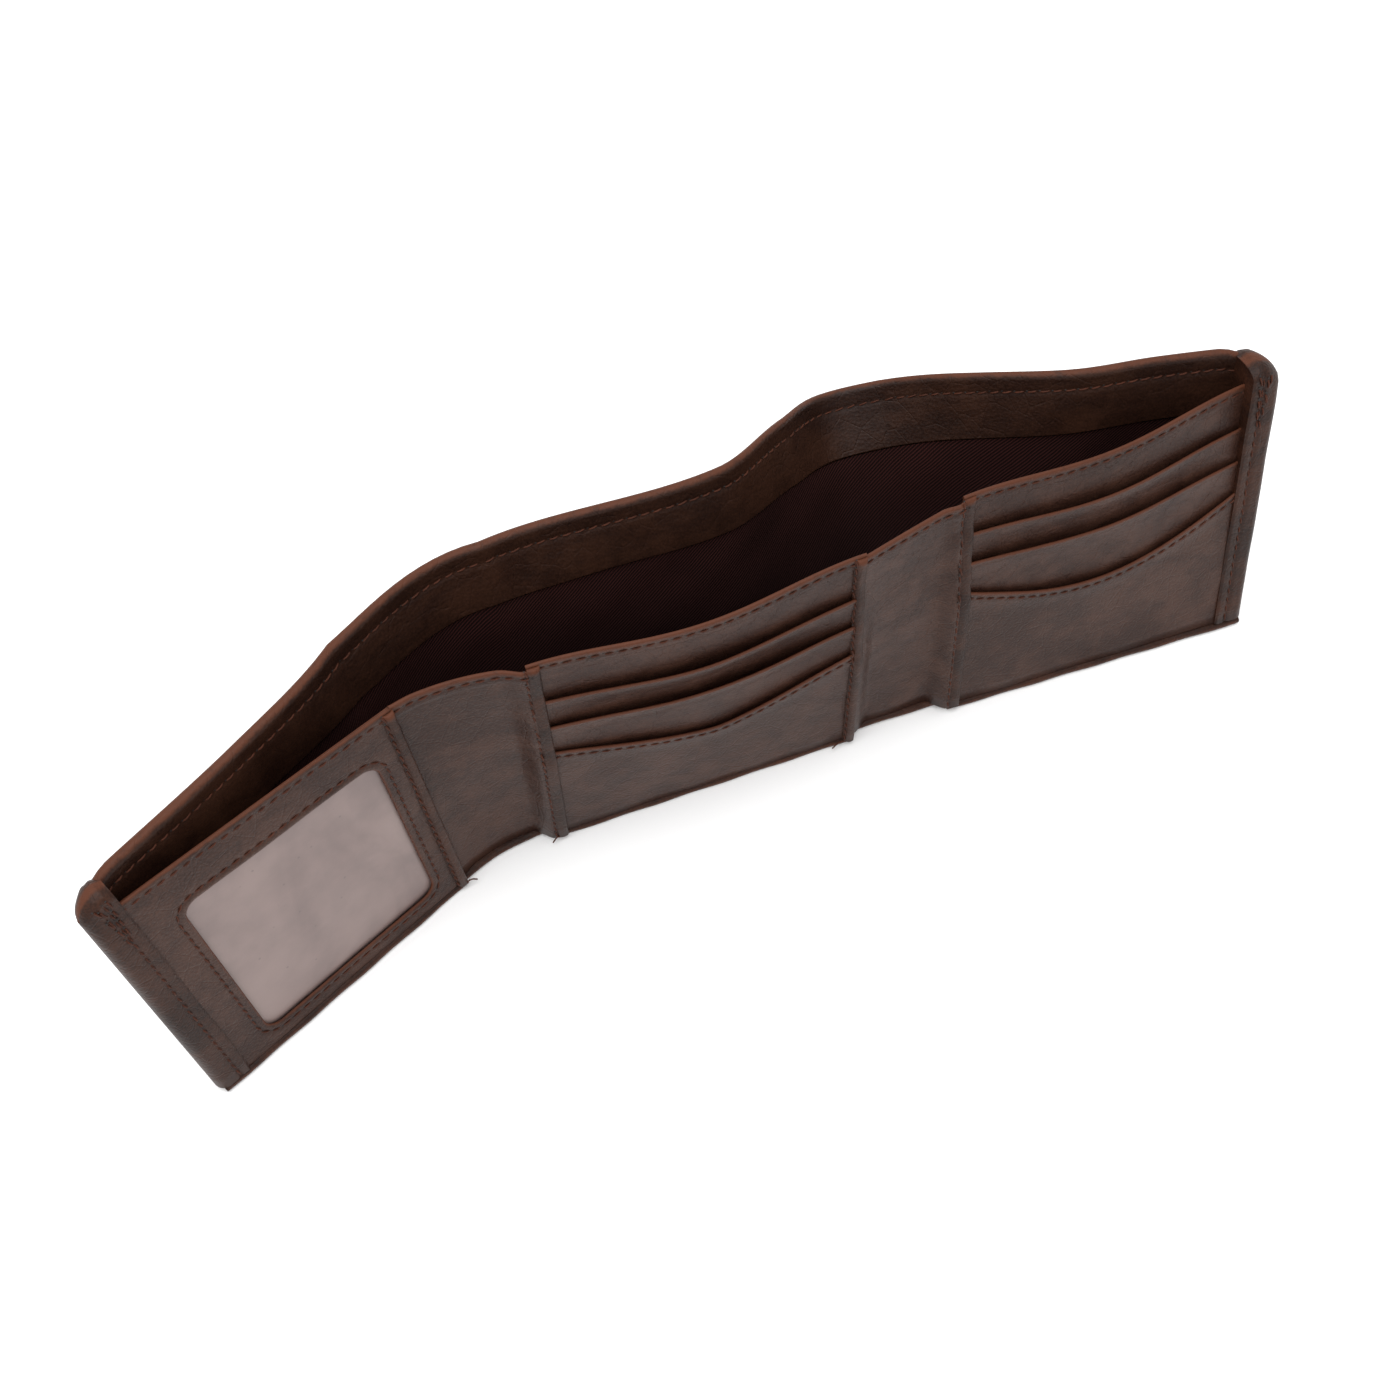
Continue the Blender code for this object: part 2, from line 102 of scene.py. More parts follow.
# Back-stitches at the top of an end hem: shift from the hem's row, ends down from the cover's top,
# and slope across the hem
BACK_STITCHES = (
    (0.0007, 0.0185, 0.0050, 0.04),
    (-0.0006, 0.0150, 0.0035, -0.05),
    (0.0014, 0.0100, 0.0040, 0.12),
)

# The studio: half the floor's width, the light all round, the lamp overhead and the camera
FLOOR_HALF = 4.0
WORLD_STRENGTH = 1.02
LAMP_PLACE = (-0.20, 0.10, 1.35)
LAMP_SIZE = 1.3
LAMP_POWER = 17.5
CAMERA_PLACE = (-0.0804, -0.2089, 0.4720)
CAMERA_TILT = 28.14
CAMERA_TURN = -20.0
CAMERA_LENS = 47.09
CAMERA_SENSOR = 36.0


# ---------------------------------------------------------------- sizes and colours

def length(name, description, default):
    return FloatProperty(
        name=name, description=description, default=default, unit="LENGTH", precision=5
    )


def angle(name, description, degrees):
    return FloatProperty(
        name=name, description=description, default=math.radians(degrees), subtype="ANGLE",
        unit="ROTATION",
    )


def colour(name, description, default):
    return FloatVectorProperty(
        name=name, description=description, default=default, subtype="COLOR", size=3, min=0.0,
        max=1.0,
    )


class WalletStance(bpy.types.PropertyGroup):
    """The flat sizes of the wallet and how it stands."""

    panel_height: length("Panel height", "Height of the card panels", 0.088)
    cover_height: length("Cover height", "Height of the outer cover", 0.0945)
    left_width: length("Left width", "Width of the identity panel", 0.078)
    centre_width: length("Centre width", "Width of the centre panel", 0.0908)
    right_width: length("Right width", "Width of the right panel", 0.088)
    fold_width: length("Fold width", "Width of each plain folding strip", 0.030)
    end_hem_width: length("End hem", "Width of the turned hem at each end", 0.008)
    setback: length("Cover setback", "How far the cover's foot stands behind the panels'", 0.002)
    left_swing: angle("Left swing", "How far the left wing is swung forwards", 24.6)
    right_swing: angle("Right swing", "How far the right wing is swung forwards", 1.8)
    left_end_lean: angle("Left end lean", "Backward lean of the panels at the left end", 12.4)
    fold_lean: angle("Fold lean", "Backward lean of the panels at the wings' folds", 9.0)
    centre_left_lean: angle("Centre left lean", "Lean at the centre panel's left edge", 2.5)
    centre_right_lean: angle("Centre right lean", "Lean at the centre panel's right edge", 3.5)
    right_end_lean: angle("Right end lean", "Backward lean of the panels at the right end", 17.0)
    centre_bow: length("Centre bow", "How far the centre panel's top bellies forwards", 0.0030)
    right_bow: length("Right bow", "How far the right panel's top bellies forwards", 0.0025)
    top_sag: length("Top sag", "How far both panels' top edges dip in their middle", 0.0024)
    gape_left_end: angle("Gape, left end", "Lean of the cover beyond the panels", 0.5)
    gape_left_wing: angle("Gape, left wing", "The same a little short of halfway along it", 5.3)
    gape_left_fold: angle("Gape, left fold", "The same where the left wing starts", 11.0)
    gape_centre: angle("Gape, centre", "The same along the centre panel", 23.5)
    gape_centre_right: angle("Gape, centre right", "The same at the centre's right edge", 35.0)
    gape_right_fold: angle("Gape, right fold", "The same in the middle of the right fold", 42.0)
    gape_wing_start: angle("Gape, wing start", "The same where the right wing starts", 37.0)
    gape_wing_early: angle("Gape, wing early", "The same over a quarter along the right wing", 22.0)
    gape_wing_middle: angle("Gape, wing middle", "The same halfway along the right wing", 13.0)
    gape_wing_late: angle("Gape, wing late", "The same three quarters along it", 8.0)
    gape_right_end: angle("Gape, right end", "The same at the right end", 2.5)


class WalletLeather(bpy.types.PropertyGroup):
    """Thicknesses, pocket heights and the window."""

    clearance: length("Clearance", "Air between two sheets that lie on each other", 0.0003)
    cover_leather: length("Cover leather", "Thickness of the outer cover", 0.0014)
    panel_leather: length("Panel leather", "Thickness of the panels", 0.0009)
    slot_leather: length("Slot leather", "Thickness of the card slots", 0.0008)
    cloth: length("Cloth", "Thickness of the twill lining", 0.0004)
    film: length("Film", "Thickness of the window's film", 0.0003)
    hem_height: length("Hem height", "Height of the turned hem along the foot", 0.002)
    facing_height: length("Facing height", "Height of the leather inside the cover's rim", 0.0185)
    band_width: length("Seam ridge", "Width of the folded edge at each seam", 0.0034)
    centre_slot_upper: length("Centre slot 1", "Drop of the centre panel's first slot", 0.0165)
    centre_slot_lower: length("Centre slot 2", "Drop of the centre panel's second slot", 0.0280)
    centre_pocket: length("Centre pocket", "Drop of the centre pocket's corners", 0.0390)
    centre_dip: length("Centre dip", "Drop of the centre pocket's point below its corners", 0.0105)
    centre_dip_at: length("Centre dip at", "Place of the point, from the panel's middle", 0.003)
    right_slot_upper: length("Right slot 1", "Drop of the right panel's first slot", 0.0137)
    right_slot_lower: length("Right slot 2", "Drop of the right panel's second slot", 0.0245)
    right_pocket: length("Right pocket", "Drop of the right pocket's corners", 0.0345)
    right_sag: length("Right sag", "Depth of the right pocket's hollow edge", 0.0105)
    lip_gape: length("Lip gape", "How far a slot's lip stands open in its middle", 0.0017)
    window_left: length("Window left", "Leather left of the window", 0.0115)
    window_right: length("Window right", "Leather right of the window", 0.0095)
    window_foot: length("Window foot", "Leather below the window", 0.0085)
    window_head: length("Window head", "Leather above the window", 0.0150)
    window_corner: length("Window corner", "Radius of the window's corners", 0.0045)
    film_overlap: length("Film overlap", "Film hidden behind the window's edge", 0.004)
    recess: length("Window recess", "Air between the film and the leather frame", 0.0004)


class WalletThread(bpy.types.PropertyGroup):
    """The stitching."""

    pitch: length("Pitch", "Distance from stitch to stitch", 0.0034)
    stitch: length("Stitch", "Visible length of one stitch", 0.0025)
    thickness: length("Thread", "Diameter of the thread", 0.00052)
    slant: angle("Slant", "How far each stitch is turned from its row", 9.0)
    margin: length("Margin", "Distance of a row from the edge it follows", 0.0024)
    rim_margin: length("Rim margin", "Distance of the cover's row from its rim", 0.0056)


class WalletColours(bpy.types.PropertyGroup):
    """Colours of the leather, cloth, film and thread."""

    cover: colour("Cover", "Oiled leather of the cover", (0.0150, 0.0058, 0.0036))
    cover_light: colour("Cover, pulled up", "The same where it is stretched", (0.036, 0.0145, 0.0082))
    pocket: colour("Pockets", "Leather of the pockets", (0.0235, 0.0094, 0.0062))
    pocket_light: colour("Pockets, pulled up", "The same where it is rubbed", (0.0600, 0.0270, 0.0178))
    worn: colour("Worn edge", "Leather on folded edges", (0.085, 0.0260, 0.0118))
    # The twill finish darkens these colours towards the lining's foot as painted shade.
    lining: colour("Lining", "Twill of the note compartment", (0.0050, 0.0014, 0.0013))
    lining_light: colour("Lining, raised", "The twill's raised ribs", (0.036, 0.0100, 0.0085))
    film: colour("Film", "Cloudy film of the window", (0.150, 0.104, 0.096))
    film_light: colour("Film, lit", "Paler clouds in the film", (0.225, 0.162, 0.148))
    thread: colour("Thread", "Sewing thread", (0.075, 0.0225, 0.0115))
    # Painted shade: the near-black of the needle holes stands in for the shade inside them.
    hole_shade: colour("Needle hole", "Dark of the needle holes", (0.006, 0.003, 0.002))
    floor: colour("Floor", "Pale studio floor", (0.93, 0.93, 0.93))


def stance():
    return bpy.context.scene.wallet_stance


def leather():
    return bpy.context.scene.wallet_leather


def thread():
    return bpy.context.scene.wallet_thread


def colours():
    return bpy.context.scene.wallet_colours


# ---------------------------------------------------------------- the two walls

def smooth(t):
    """Ease from 0 to 1, and stay there."""
    t = np.clip(t, 0.0, 1.0)
    return t * t * (3.0 - 2.0 * t)


def flowing(stations, s):
    """Values at s on a smooth curve through (place, value) stations that run left to right."""
    places = np.array([place for place, _ in stations])
    values = np.array([value for _, value in stations])
    last = len(stations) - 1
    before = np.maximum(np.arange(last + 1) - 1, 0)
    after = np.minimum(np.arange(last + 1) + 1, last)
    slopes = (values[after] - values[before]) / (places[after] - places[before])
    s = np.clip(s, places[0], places[-1])
    k = np.clip(np.searchsorted(places, s) - 1, 0, last - 1)
    width = places[k + 1] - places[k]
    t = (s - places[k]) / width
    ease_out = t * (1.0 - t) ** 2
    ease_in = -t * t * (1.0 - t)
    rise = values[k] + (values[k + 1] - values[k]) * smooth(t)
    return rise + width * (slopes[k] * ease_out + slopes[k + 1] * ease_in)


class Walls:
    """The curved walls that the sheets stand on.

    s is the distance along the wallet from its middle, v the height up a sheet, and d the depth
    in front of the wall's own face.
    """

    def __init__(self):
        self.size = stance()
        self.centre_edge = self.size.centre_width / 2.0
        self.wing_edge = self.centre_edge + self.size.fold_width
        self.left_end = -(self.wing_edge + self.size.left_width)
        self.right_end = self.wing_edge + self.size.right_width

    def inner_lean(self, s):
        size = self.size
        places = [self.left_end, -self.wing_edge, -self.centre_edge, self.centre_edge]
        places += [self.wing_edge, self.right_end]
        leans = [size.left_end_lean, size.fold_lean, size.centre_left_lean]
        leans += [size.centre_right_lean, size.fold_lean, size.right_end_lean]
        return np.interp(s, places, leans)

    def cover_lean(self, s):
        size = self.size
        along_left = -self.wing_edge - LEFT_WING_SHARE * size.left_width
        wing = size.right_width
        gape = flowing(
            [
                (self.left_end, size.gape_left_end),
                (along_left, size.gape_left_wing),
                (-self.wing_edge, size.gape_left_fold),
                (-self.centre_edge, size.gape_centre),
                (CENTRE_SHARE * self.centre_edge, size.gape_centre),
                (self.centre_edge, size.gape_centre_right),
                (self.centre_edge + 0.5 * size.fold_width, size.gape_right_fold),
                (self.wing_edge, size.gape_wing_start),
                (self.wing_edge + WING_EARLY_SHARE * wing, size.gape_wing_early),
                (self.wing_edge + 0.5 * wing, size.gape_wing_middle),
                (self.wing_edge + WING_LATE_SHARE * wing, size.gape_wing_late),
                (self.right_end, size.gape_right_end),
            ],
            s,
        )
        return self.inner_lean(s) + gape

    def plan(self, s):
        """Foot of the wall at s, and the wall's front direction there."""
        s = np.asarray(s, float)
        side = np.where(s >= 0.0, 1.0, -1.0)
        swing = np.where(s >= 0.0, self.size.right_swing, self.size.left_swing)
        reach = np.abs(s)
        along = np.clip(reach - self.centre_edge, 0.0, self.size.fold_width)
        turned = swing * along / self.size.fold_width
        chord = along * np.sinc(turned / 2.0 / math.pi)
        beyond = np.maximum(reach - self.wing_edge, 0.0)
        x = np.minimum(reach, self.centre_edge) + chord * np.cos(turned / 2.0)
        y = -chord * np.sin(turned / 2.0)
        x = x + beyond * np.cos(swing)
        y = y - beyond * np.sin(swing)
        flat = np.zeros_like(x)
        foot = np.stack([side * x, y, flat], axis=-1)
        front = np.stack([-side * np.sin(turned), -np.cos(turned), flat], axis=-1)
        return foot, front

    def stand(self, s, v, d, lean, setback):
        """Points v up and d in front of a wall that leans back and stands setback behind the foot."""
        s, v, d, lean = np.broadcast_arrays(s, v, d, lean)
        foot, front = self.plan(s)
        up = np.array([0.0, 0.0, 1.0])
        sine, cosine = np.sin(lean)[..., None], np.cos(lean)[..., None]
        rise = up * cosine - front * sine
        face = front * cosine + up * sine
        return foot - front * setback + rise * v[..., None] + face * d[..., None]

    def bellied(self, s, start, end):
        """0 outside a panel's side seams, 1 at its middle."""
        share = np.clip((np.asarray(s, float) - start) / (end - start), 0.0, 1.0)
        return np.sin(math.pi * share) ** 2

    def sag(self, s):
        """How far the card panels' top edge dips at s."""
        centre = self.bellied(s, -self.centre_edge, self.centre_edge)
        right = self.bellied(s, self.wing_edge, self.right_end)
        return self.size.top_sag * (centre + right)

    def inner(self, s, v, d):
        centre = self.size.centre_bow * self.bellied(s, -self.centre_edge, self.centre_edge)
        right = self.size.right_bow * self.bellied(s, self.wing_edge, self.right_end)
        bow = (centre + right) * smooth(v / self.size.panel_height)
        return self.stand(s, v, d + bow, self.inner_lean(s), 0.0)

    def cover(self, s, v, d):
        return self.stand(s, v, d, self.cover_lean(s), self.size.setback)

    def upright(self, s, v, d):
        return self.stand(s, v, d, 0.0, 0.0)

    def foot(self, s):
        """The foot of the wall at s, as a plain point."""
        return tuple(float(x) for x in self.plan(s)[0])


def ripple(s, v, size, seed=0.0):
    """A slow unevenness of hand-cut leather, up to about size."""
    long_wave = np.sin(s * 95.0 + v * 60.0 + seed) * np.sin(v * 88.0 - s * 41.0 + 1.7 * seed)
    short_wave = np.sin(s * 190.0 - v * 130.0 + 2.3 * seed) * np.sin(v * 210.0 + 0.6 * seed)
    return size * (0.7 * long_wave + 0.3 * short_wave)


def bump_at(x, place, width):
    """A rounded bump of height 1 round a place."""
    return np.exp(-(((x - place) / width) ** 2))


# ---------------------------------------------------------------- meshes

def columns(start, end, step=COLUMN):
    count = max(2, math.ceil((end - start) / step)) + 1
    return np.linspace(start, end, count)


def skin(name, wall, s, v, d, wear, pattern=0):
    """A closed shell through rings of flat points: axis 0 runs along it, axis 1 round it."""
    s, v, d, wear = np.broadcast_arrays(s, v, d, wear)
    rings, around = s.shape
    places = wall(s, v, d).reshape(-1, 3)
    index = np.arange(rings * around).reshape(rings, around)
    following = np.roll(index, -1, axis=1)
    quads = np.stack([index[:-1], index[1:], following[1:], following[:-1]], axis=-1)
    faces = quads.reshape(-1, 4).tolist()
    faces.append(index[0].tolist())
    faces.append(index[-1][::-1].tolist())
    flat = np.stack([s, v, d + pattern * PATTERN_SHIFT], axis=-1)
    return shell(name, places, faces, flat.reshape(-1, 3), wear.reshape(-1), 2)


def shell(name, places, faces, flat, wear, ends=0):
    """An object from points and faces. The last faces, ends of them, are flat cut ends."""
    mesh = bpy.data.meshes.new(name)
    mesh.from_pydata([tuple(p) for p in places], [], faces)
    build = bmesh.new()
    build.from_mesh(mesh)
    build.faces.ensure_lookup_table()
    cut = build.faces[len(faces) - ends:] if ends else []
    for face in build.faces:
        face.smooth = True
    for face in cut:
        face.smooth = False
        for edge in face.edges:
            edge.smooth = False
    bmesh.ops.recalc_face_normals(build, faces=build.faces)
    build.to_mesh(mesh)
    build.free()
    mesh.attributes.new("flat", "FLOAT_VECTOR", "POINT").data.foreach_set("vector", flat.ravel())
    mesh.attributes.new("wear", "FLOAT", "POINT").data.foreach_set("value", wear.ravel())
    return show(name, mesh)


def show(name, mesh):
    piece = bpy.data.objects.new(name, mesh)
    bpy.context.scene.collection.objects.link(piece)
    return piece


def level(value):
    """A size that may vary over the sheet, as a function of s and v."""
    return value if callable(value) else (lambda s, v: value + 0.0 * s + 0.0 * v)


class Leaf:
    """A sheet on a wall, from a foot to a rounded top edge, between a back and a front depth."""

    def __init__(self, wall, start, end, foot, top, back, front, wear_reach=0.0009, pattern=0):
        self.wall = wall
        self.start = start
        self.end = end
        self.foot = level(foot)
        self.top = level(top)
        self.back = level(back)
        self.front = level(front)
        self.wear_reach = wear_reach
        self.pattern = pattern

    def make(self, name, stations=None, extra_rows=()):
        s = columns(self.start, self.end) if stations is None else np.asarray(stations)
        s = s[:, None]
        top, foot = self.top(s, 0.0), self.foot(s, 0.0)
        front, back = self.front(s, top), self.back(s, top)
        half = (front - back) / 2.0
        roll = np.minimum(half, ROLL_HEIGHT)
        plain = top - roll - FINE_ROWS[0]
        count = max(2, math.ceil(float((plain - foot).max()) / PLAIN_ROW))
        low = foot + (plain - foot) * np.arange(count) / count
        high = top - roll - FINE_ROWS
        rows = np.concatenate([low, high] + [row + 0.0 * s for row in extra_rows], axis=1)
        rows = np.sort(rows, axis=1)
        turn = np.linspace(0.0, math.pi, ROLL_STEPS + 2)[None, 1:-1]
        roll_v = top - roll + roll * np.sin(turn)
        roll_d = (front + back) / 2.0 + half * np.cos(turn)
        v = np.concatenate([rows, roll_v, rows[:, ::-1]], axis=1)
        d = np.concatenate([self.front(s, rows), roll_d, self.back(s, rows)[:, ::-1]], axis=1)
        wear = bump_at(v, top, self.wear_reach + np.minimum(half, WORN_HEIGHT))
        return skin(name, self.wall, s, v, d, wear, self.pattern)

    def row(self, drop, start, end, behind=False):
        """Flat points on the sheet's face, drop below its top edge."""
        s = columns(start, end, ROW_STEP)
        v = self.top(s, 0.0) - drop
        d = self.back(s, v) if behind else self.front(s, v)
        return s, v, d


# ---------------------------------------------------------------- shader arithmetic

class Value:
    """A shader output that takes part in arithmetic."""

    def __init__(self, finish, socket):
        self.finish = finish
        self.socket = socket

    def maths(self, operation, *others):
        inputs = dict(enumerate((self, *others)))
        return self.finish.value("ShaderNodeMath", {"operation": operation}, inputs)

    def __add__(self, other):
        return self.maths("ADD", other)

    __radd__ = __add__

    def __mul__(self, other):
        return self.maths("MULTIPLY", other)

    __rmul__ = __mul__

    def __sub__(self, other):
        return self.maths("SUBTRACT", other)

    def __rsub__(self, other):
        return (self * -1.0) + other

    def between(self, low, high):
        """0 below low, 1 above high, and a smooth step from one to the other."""
        settings = {"interpolation_type": "SMOOTHSTEP"}
        return self.finish.value(
            "ShaderNodeMapRange", settings, {"Value": self, "From Min": low, "From Max": high}
        )


class Finish:
    """One material and its nodes."""

    def __init__(self, name):
        self.material = bpy.data.materials.new(name)
        self.material.use_nodes = True
        self.tree = self.material.node_tree
        self.shader = self.tree.nodes["Principled BSDF"]

    def node(self, kind, settings=None, inputs=None):
        node = self.tree.nodes.new(kind)
        for key, setting in (settings or {}).items():
            setattr(node, key, setting)
        for key, fed in (inputs or {}).items():
            self.feed(node.inputs[key], fed)
        return node

    def feed(self, socket, fed):
        if isinstance(fed, Value):
            self.tree.links.new(fed.socket, socket)
        else:
            socket.default_value = fed

    def value(self, kind, settings=None, inputs=None, output=0):
        return Value(self, self.node(kind, settings, inputs).outputs[output])

    def flat(self, stretch=(1.0, 1.0, 1.0), turn=0.0):
        """The piece's flat coordinates in metres, stretched and turned in the sheet."""
        place = self.value("ShaderNodeAttribute", {"attribute_name": "flat"}, None, "Vector")
        mapping = {"Vector": place, "Rotation": (0.0, 0.0, turn), "Scale": stretch}
        return self.value("ShaderNodeMapping", None, mapping)

    def place(self):
        """The piece's own coordinates in metres."""
        return self.value("ShaderNodeTexCoord", None, None, "Object")

    def wear(self):
        return self.value("ShaderNodeAttribute", {"attribute_name": "wear"}, None, "Fac")

    def noise(self, place, scale, detail=2.0, roughness=0.5, distortion=0.0):
        inputs = {"Vector": place, "Scale": scale, "Detail": detail, "Roughness": roughness}
        inputs["Distortion"] = distortion
        return self.value("ShaderNodeTexNoise", None, inputs)

    def cells(self, place, scale, feature="F1"):
        inputs = {"Vector": place, "Scale": scale}
        return self.value("ShaderNodeTexVoronoi", {"feature": feature}, inputs)

    def mixed(self, share, low, high):
        """A colour between two colours."""
        ends = [end if isinstance(end, Value) else (*end, 1.0) for end in (low, high)]
        inputs = {0: share, 6: ends[0], 7: ends[1]}
        return self.value("ShaderNodeMix", {"data_type": "RGBA"}, inputs, 2)

    def surface(self, **inputs):
        for name, fed in inputs.items():
            self.feed(self.shader.inputs[name.replace("_", " ").title()], fed)

    def shine(self, level):
        """How strongly the surface mirrors light."""
        self.shader.inputs["Specular IOR Level"].default_value = level

    def relief(self, height, distance, strength=1.0):
        inputs = {"Height": height, "Distance": distance, "Strength": strength}
        self.feed(self.shader.inputs["Normal"], self.value("ShaderNodeBump", None, inputs))


def material(name, maker):
    """The named material, made by its function the first time it is asked for."""
    return bpy.data.materials.get(name) or maker(name).material


def oiled_leather(name, dark, light, gloss):
    """Waxed pull-up leather: mottled, rubbed red-brown on folded edges, with a fine grain."""
    finish = Finish(name)
    flat = finish.flat()
    clouds = finish.noise(flat, 38.0, 3.0, 0.55, 0.6)
    patches = finish.noise(flat, 120.0, 3.0, 0.6, 0.3)
    streaks = finish.noise(finish.flat((1.0, 3.2, 1.0)), 150.0, 2.0)
    grain = finish.noise(flat, 1900.0, 3.0, 0.6)
    pores = finish.cells(flat, 1150.0)
    creases = finish.cells(finish.flat((1.0, 0.62, 1.0), 0.35), 210.0, "DISTANCE_TO_EDGE")
    worn_by = finish.noise(flat, 420.0, 3.0, 0.65)
    pulled = (clouds * 0.9 + patches * 0.7 + streaks * 0.35).between(0.76, 1.24)
    leather_colour = finish.mixed(pulled, dark, light)
    speckled = finish.mixed(grain.between(0.42, 0.60), tuple(0.6 * c for c in dark), light)
    leather_colour = finish.mixed(0.28, leather_colour, speckled)
    rubbed = (finish.wear() * (0.35 + worn_by * 1.15)).between(0.30, 0.95)
    leather_colour = finish.mixed(rubbed * 0.85, leather_colour, tuple(colours().worn))
    crease = creases.between(0.0, 0.045)
    height = grain * 0.30 + pores * 0.35 + crease * 0.22 + patches * 0.5
    finish.surface(
        base_color=leather_colour,
        roughness=gloss + patches * 0.16 + rubbed * 0.14 - pulled * 0.05,
    )
    finish.shine(0.16)
    finish.relief(height, 0.00032, 0.75)
    return finish


def cover_leather(name):
    return oiled_leather(name, tuple(colours().cover), tuple(colours().cover_light), 0.36)


def pocket_leather(name):
    return oiled_leather(name, tuple(colours().pocket), tuple(colours().pocket_light), 0.34)


def turned_leather(name):
    """The folded strips: the same leather, pulled lighter and redder."""
    dark = tuple(0.9 * c for c in colours().cover)
    light = tuple(0.75 * a + 0.25 * b for a, b in zip(colours().cover_light, colours().worn))
    return oiled_leather(name, dark, light, 0.40)


def twill(name):
    """Diagonal ribs 0.75 mm apart, each broken into small floats of yarn, and darkened towards the foot
    by painted shade.
    """
    finish = Finish(name)
    ribs_per_metre = 1330.0
    floats_per_metre = 2100.0
    slanted = finish.value("ShaderNodeSeparateXYZ", None, {0: finish.flat(turn=math.radians(52.0))})
    across = finish.value("ShaderNodeSeparateXYZ", None, {0: finish.flat(turn=math.radians(7.0))})
    drift = finish.noise(finish.flat(), 160.0, 2.0)
    rib = ((slanted * ribs_per_metre + drift * 0.8) * math.tau).maths("SINE") * 0.5 + 0.5
    yarn = ((across * floats_per_metre) * math.tau).maths("SINE") * 0.5 + 0.5
    weave = rib * 0.75 + yarn * 0.25 * rib
    shade = finish.noise(finish.flat(), 70.0, 3.0)
    fibres = finish.noise(finish.flat(), 5200.0, 2.0)
    # Painted shade: the twill's tone falls to a quarter towards its foot, where shade lies deep in the
    # compartment.
    height = finish.value("ShaderNodeSeparateXYZ", None, {0: finish.flat()}, "Y")
    fade_and_shade = 0.25 + height.between(0.040, 0.078) * 0.75
    lit = (weave * 0.7 + shade * 0.35 + fibres * 0.15).between(0.25, 1.05) * fade_and_shade
    finish.surface(
        base_color=finish.mixed(lit, tuple(colours().lining), tuple(colours().lining_light)),
        roughness=0.78 + fibres * 0.15,
    )
    finish.shine(0.08)
    finish.relief(weave + fibres * 0.3, 0.00018, 0.8)
    return finish


def cloudy_film(name):
    """Soft clear plastic, hazed by handling, with a few specks under it."""
    finish = Finish(name)
    flat = finish.flat()
    clouds = finish.noise(finish.flat((1.0, 0.7, 1.0), 0.5), 34.0, 3.0, 0.55, 0.8)
    haze = finish.noise(flat, 130.0, 3.0, 0.6)
    specks = finish.cells(flat, 190.0)
    scuffs = finish.noise(finish.flat((1.0, 7.0, 1.0), 0.9), 420.0, 2.0)
    lit = (clouds * 1.1 + haze * 0.35).between(0.45, 0.98)
    tone = finish.mixed(lit, tuple(colours().film), tuple(colours().film_light))
    speck = 1.0 - specks.between(0.045, 0.085)
    tone = finish.mixed(speck * 0.35, tone, tuple(0.4 * c for c in colours().film))
    finish.surface(base_color=tone, roughness=0.30 + haze * 0.14 + scuffs * 0.06)
    finish.shine(0.6)
    finish.relief(clouds * 1.0 + haze * 0.12, 0.0009, 0.5)
    return finish


def sewing_thread(name):
    """Waxed twisted thread."""
    finish = Finish(name)
    place = finish.place()
    twist = finish.noise(place, 3400.0, 2.0)
    fade_and_shade = finish.noise(place, 90.0, 2.0)
    dark = tuple(0.45 * c for c in colours().thread)
    shade = (twist * 0.8 + fade_and_shade * 0.5).between(0.40, 0.90)
    finish.surface(
        base_color=finish.mixed(shade, dark, tuple(colours().thread)),
        roughness=0.50 + twist * 0.20,
    )
    finish.shine(0.15)
    finish.relief(twist, 0.00012, 0.7)
    return finish


def needle_hole(name):
    """Painted shade: a near-black disc, mottled a little lighter, standing in for the shade in the pit
    that a needle leaves.
    """
    finish = Finish(name)
    hole_shade_noise = finish.noise(finish.place(), 2600.0, 2.0)
    light = tuple(2.2 * c for c in colours().hole_shade)
    finish.surface(
        base_color=finish.mixed(hole_shade_noise, tuple(colours().hole_shade), light), roughness=0.7 + hole_shade_noise * 0.2
    )
    return finish


def seamless_paper(name):
    """The pale floor, very slightly uneven."""
    finish = Finish(name)
    fibre = finish.noise(finish.place(), 900.0, 2.0)
    pale = tuple(colours().floor)
    finish.surface(
        base_color=finish.mixed(fibre, tuple(0.99 * c for c in pale), pale),
        roughness=0.85 + fibre * 0.05,
    )
    return finish


# ---------------------------------------------------------------- fastening pieces to the frame

def clothe(piece, maker_name, maker):
    piece.data.materials.append(material(maker_name, maker))
    return piece


FINISHES = {
    "cover_leather": cover_leather,
    "pocket_leather": pocket_leather,
    "turned_edge": turned_leather,
    "twill_lining": twill,
    "clear_film": cloudy_film,
}


def dress(piece, slot, body, *nodes):
    """Give the piece its slot's finish, let it ride and take the CAD nodes' place."""
    clothe(piece, slot + "_surface", FINISHES[slot])
    follow(piece, body)
    if nodes:
        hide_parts(*nodes)
    return piece


def follow(piece, body):
    """Ride on a body by name. Given a bend as (a, b, start, end) instead, the piece does not bend: it
    keeps its place, its transform applied.
    """
    if isinstance(body, str):
        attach(piece, body)
    else:
        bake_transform(piece)


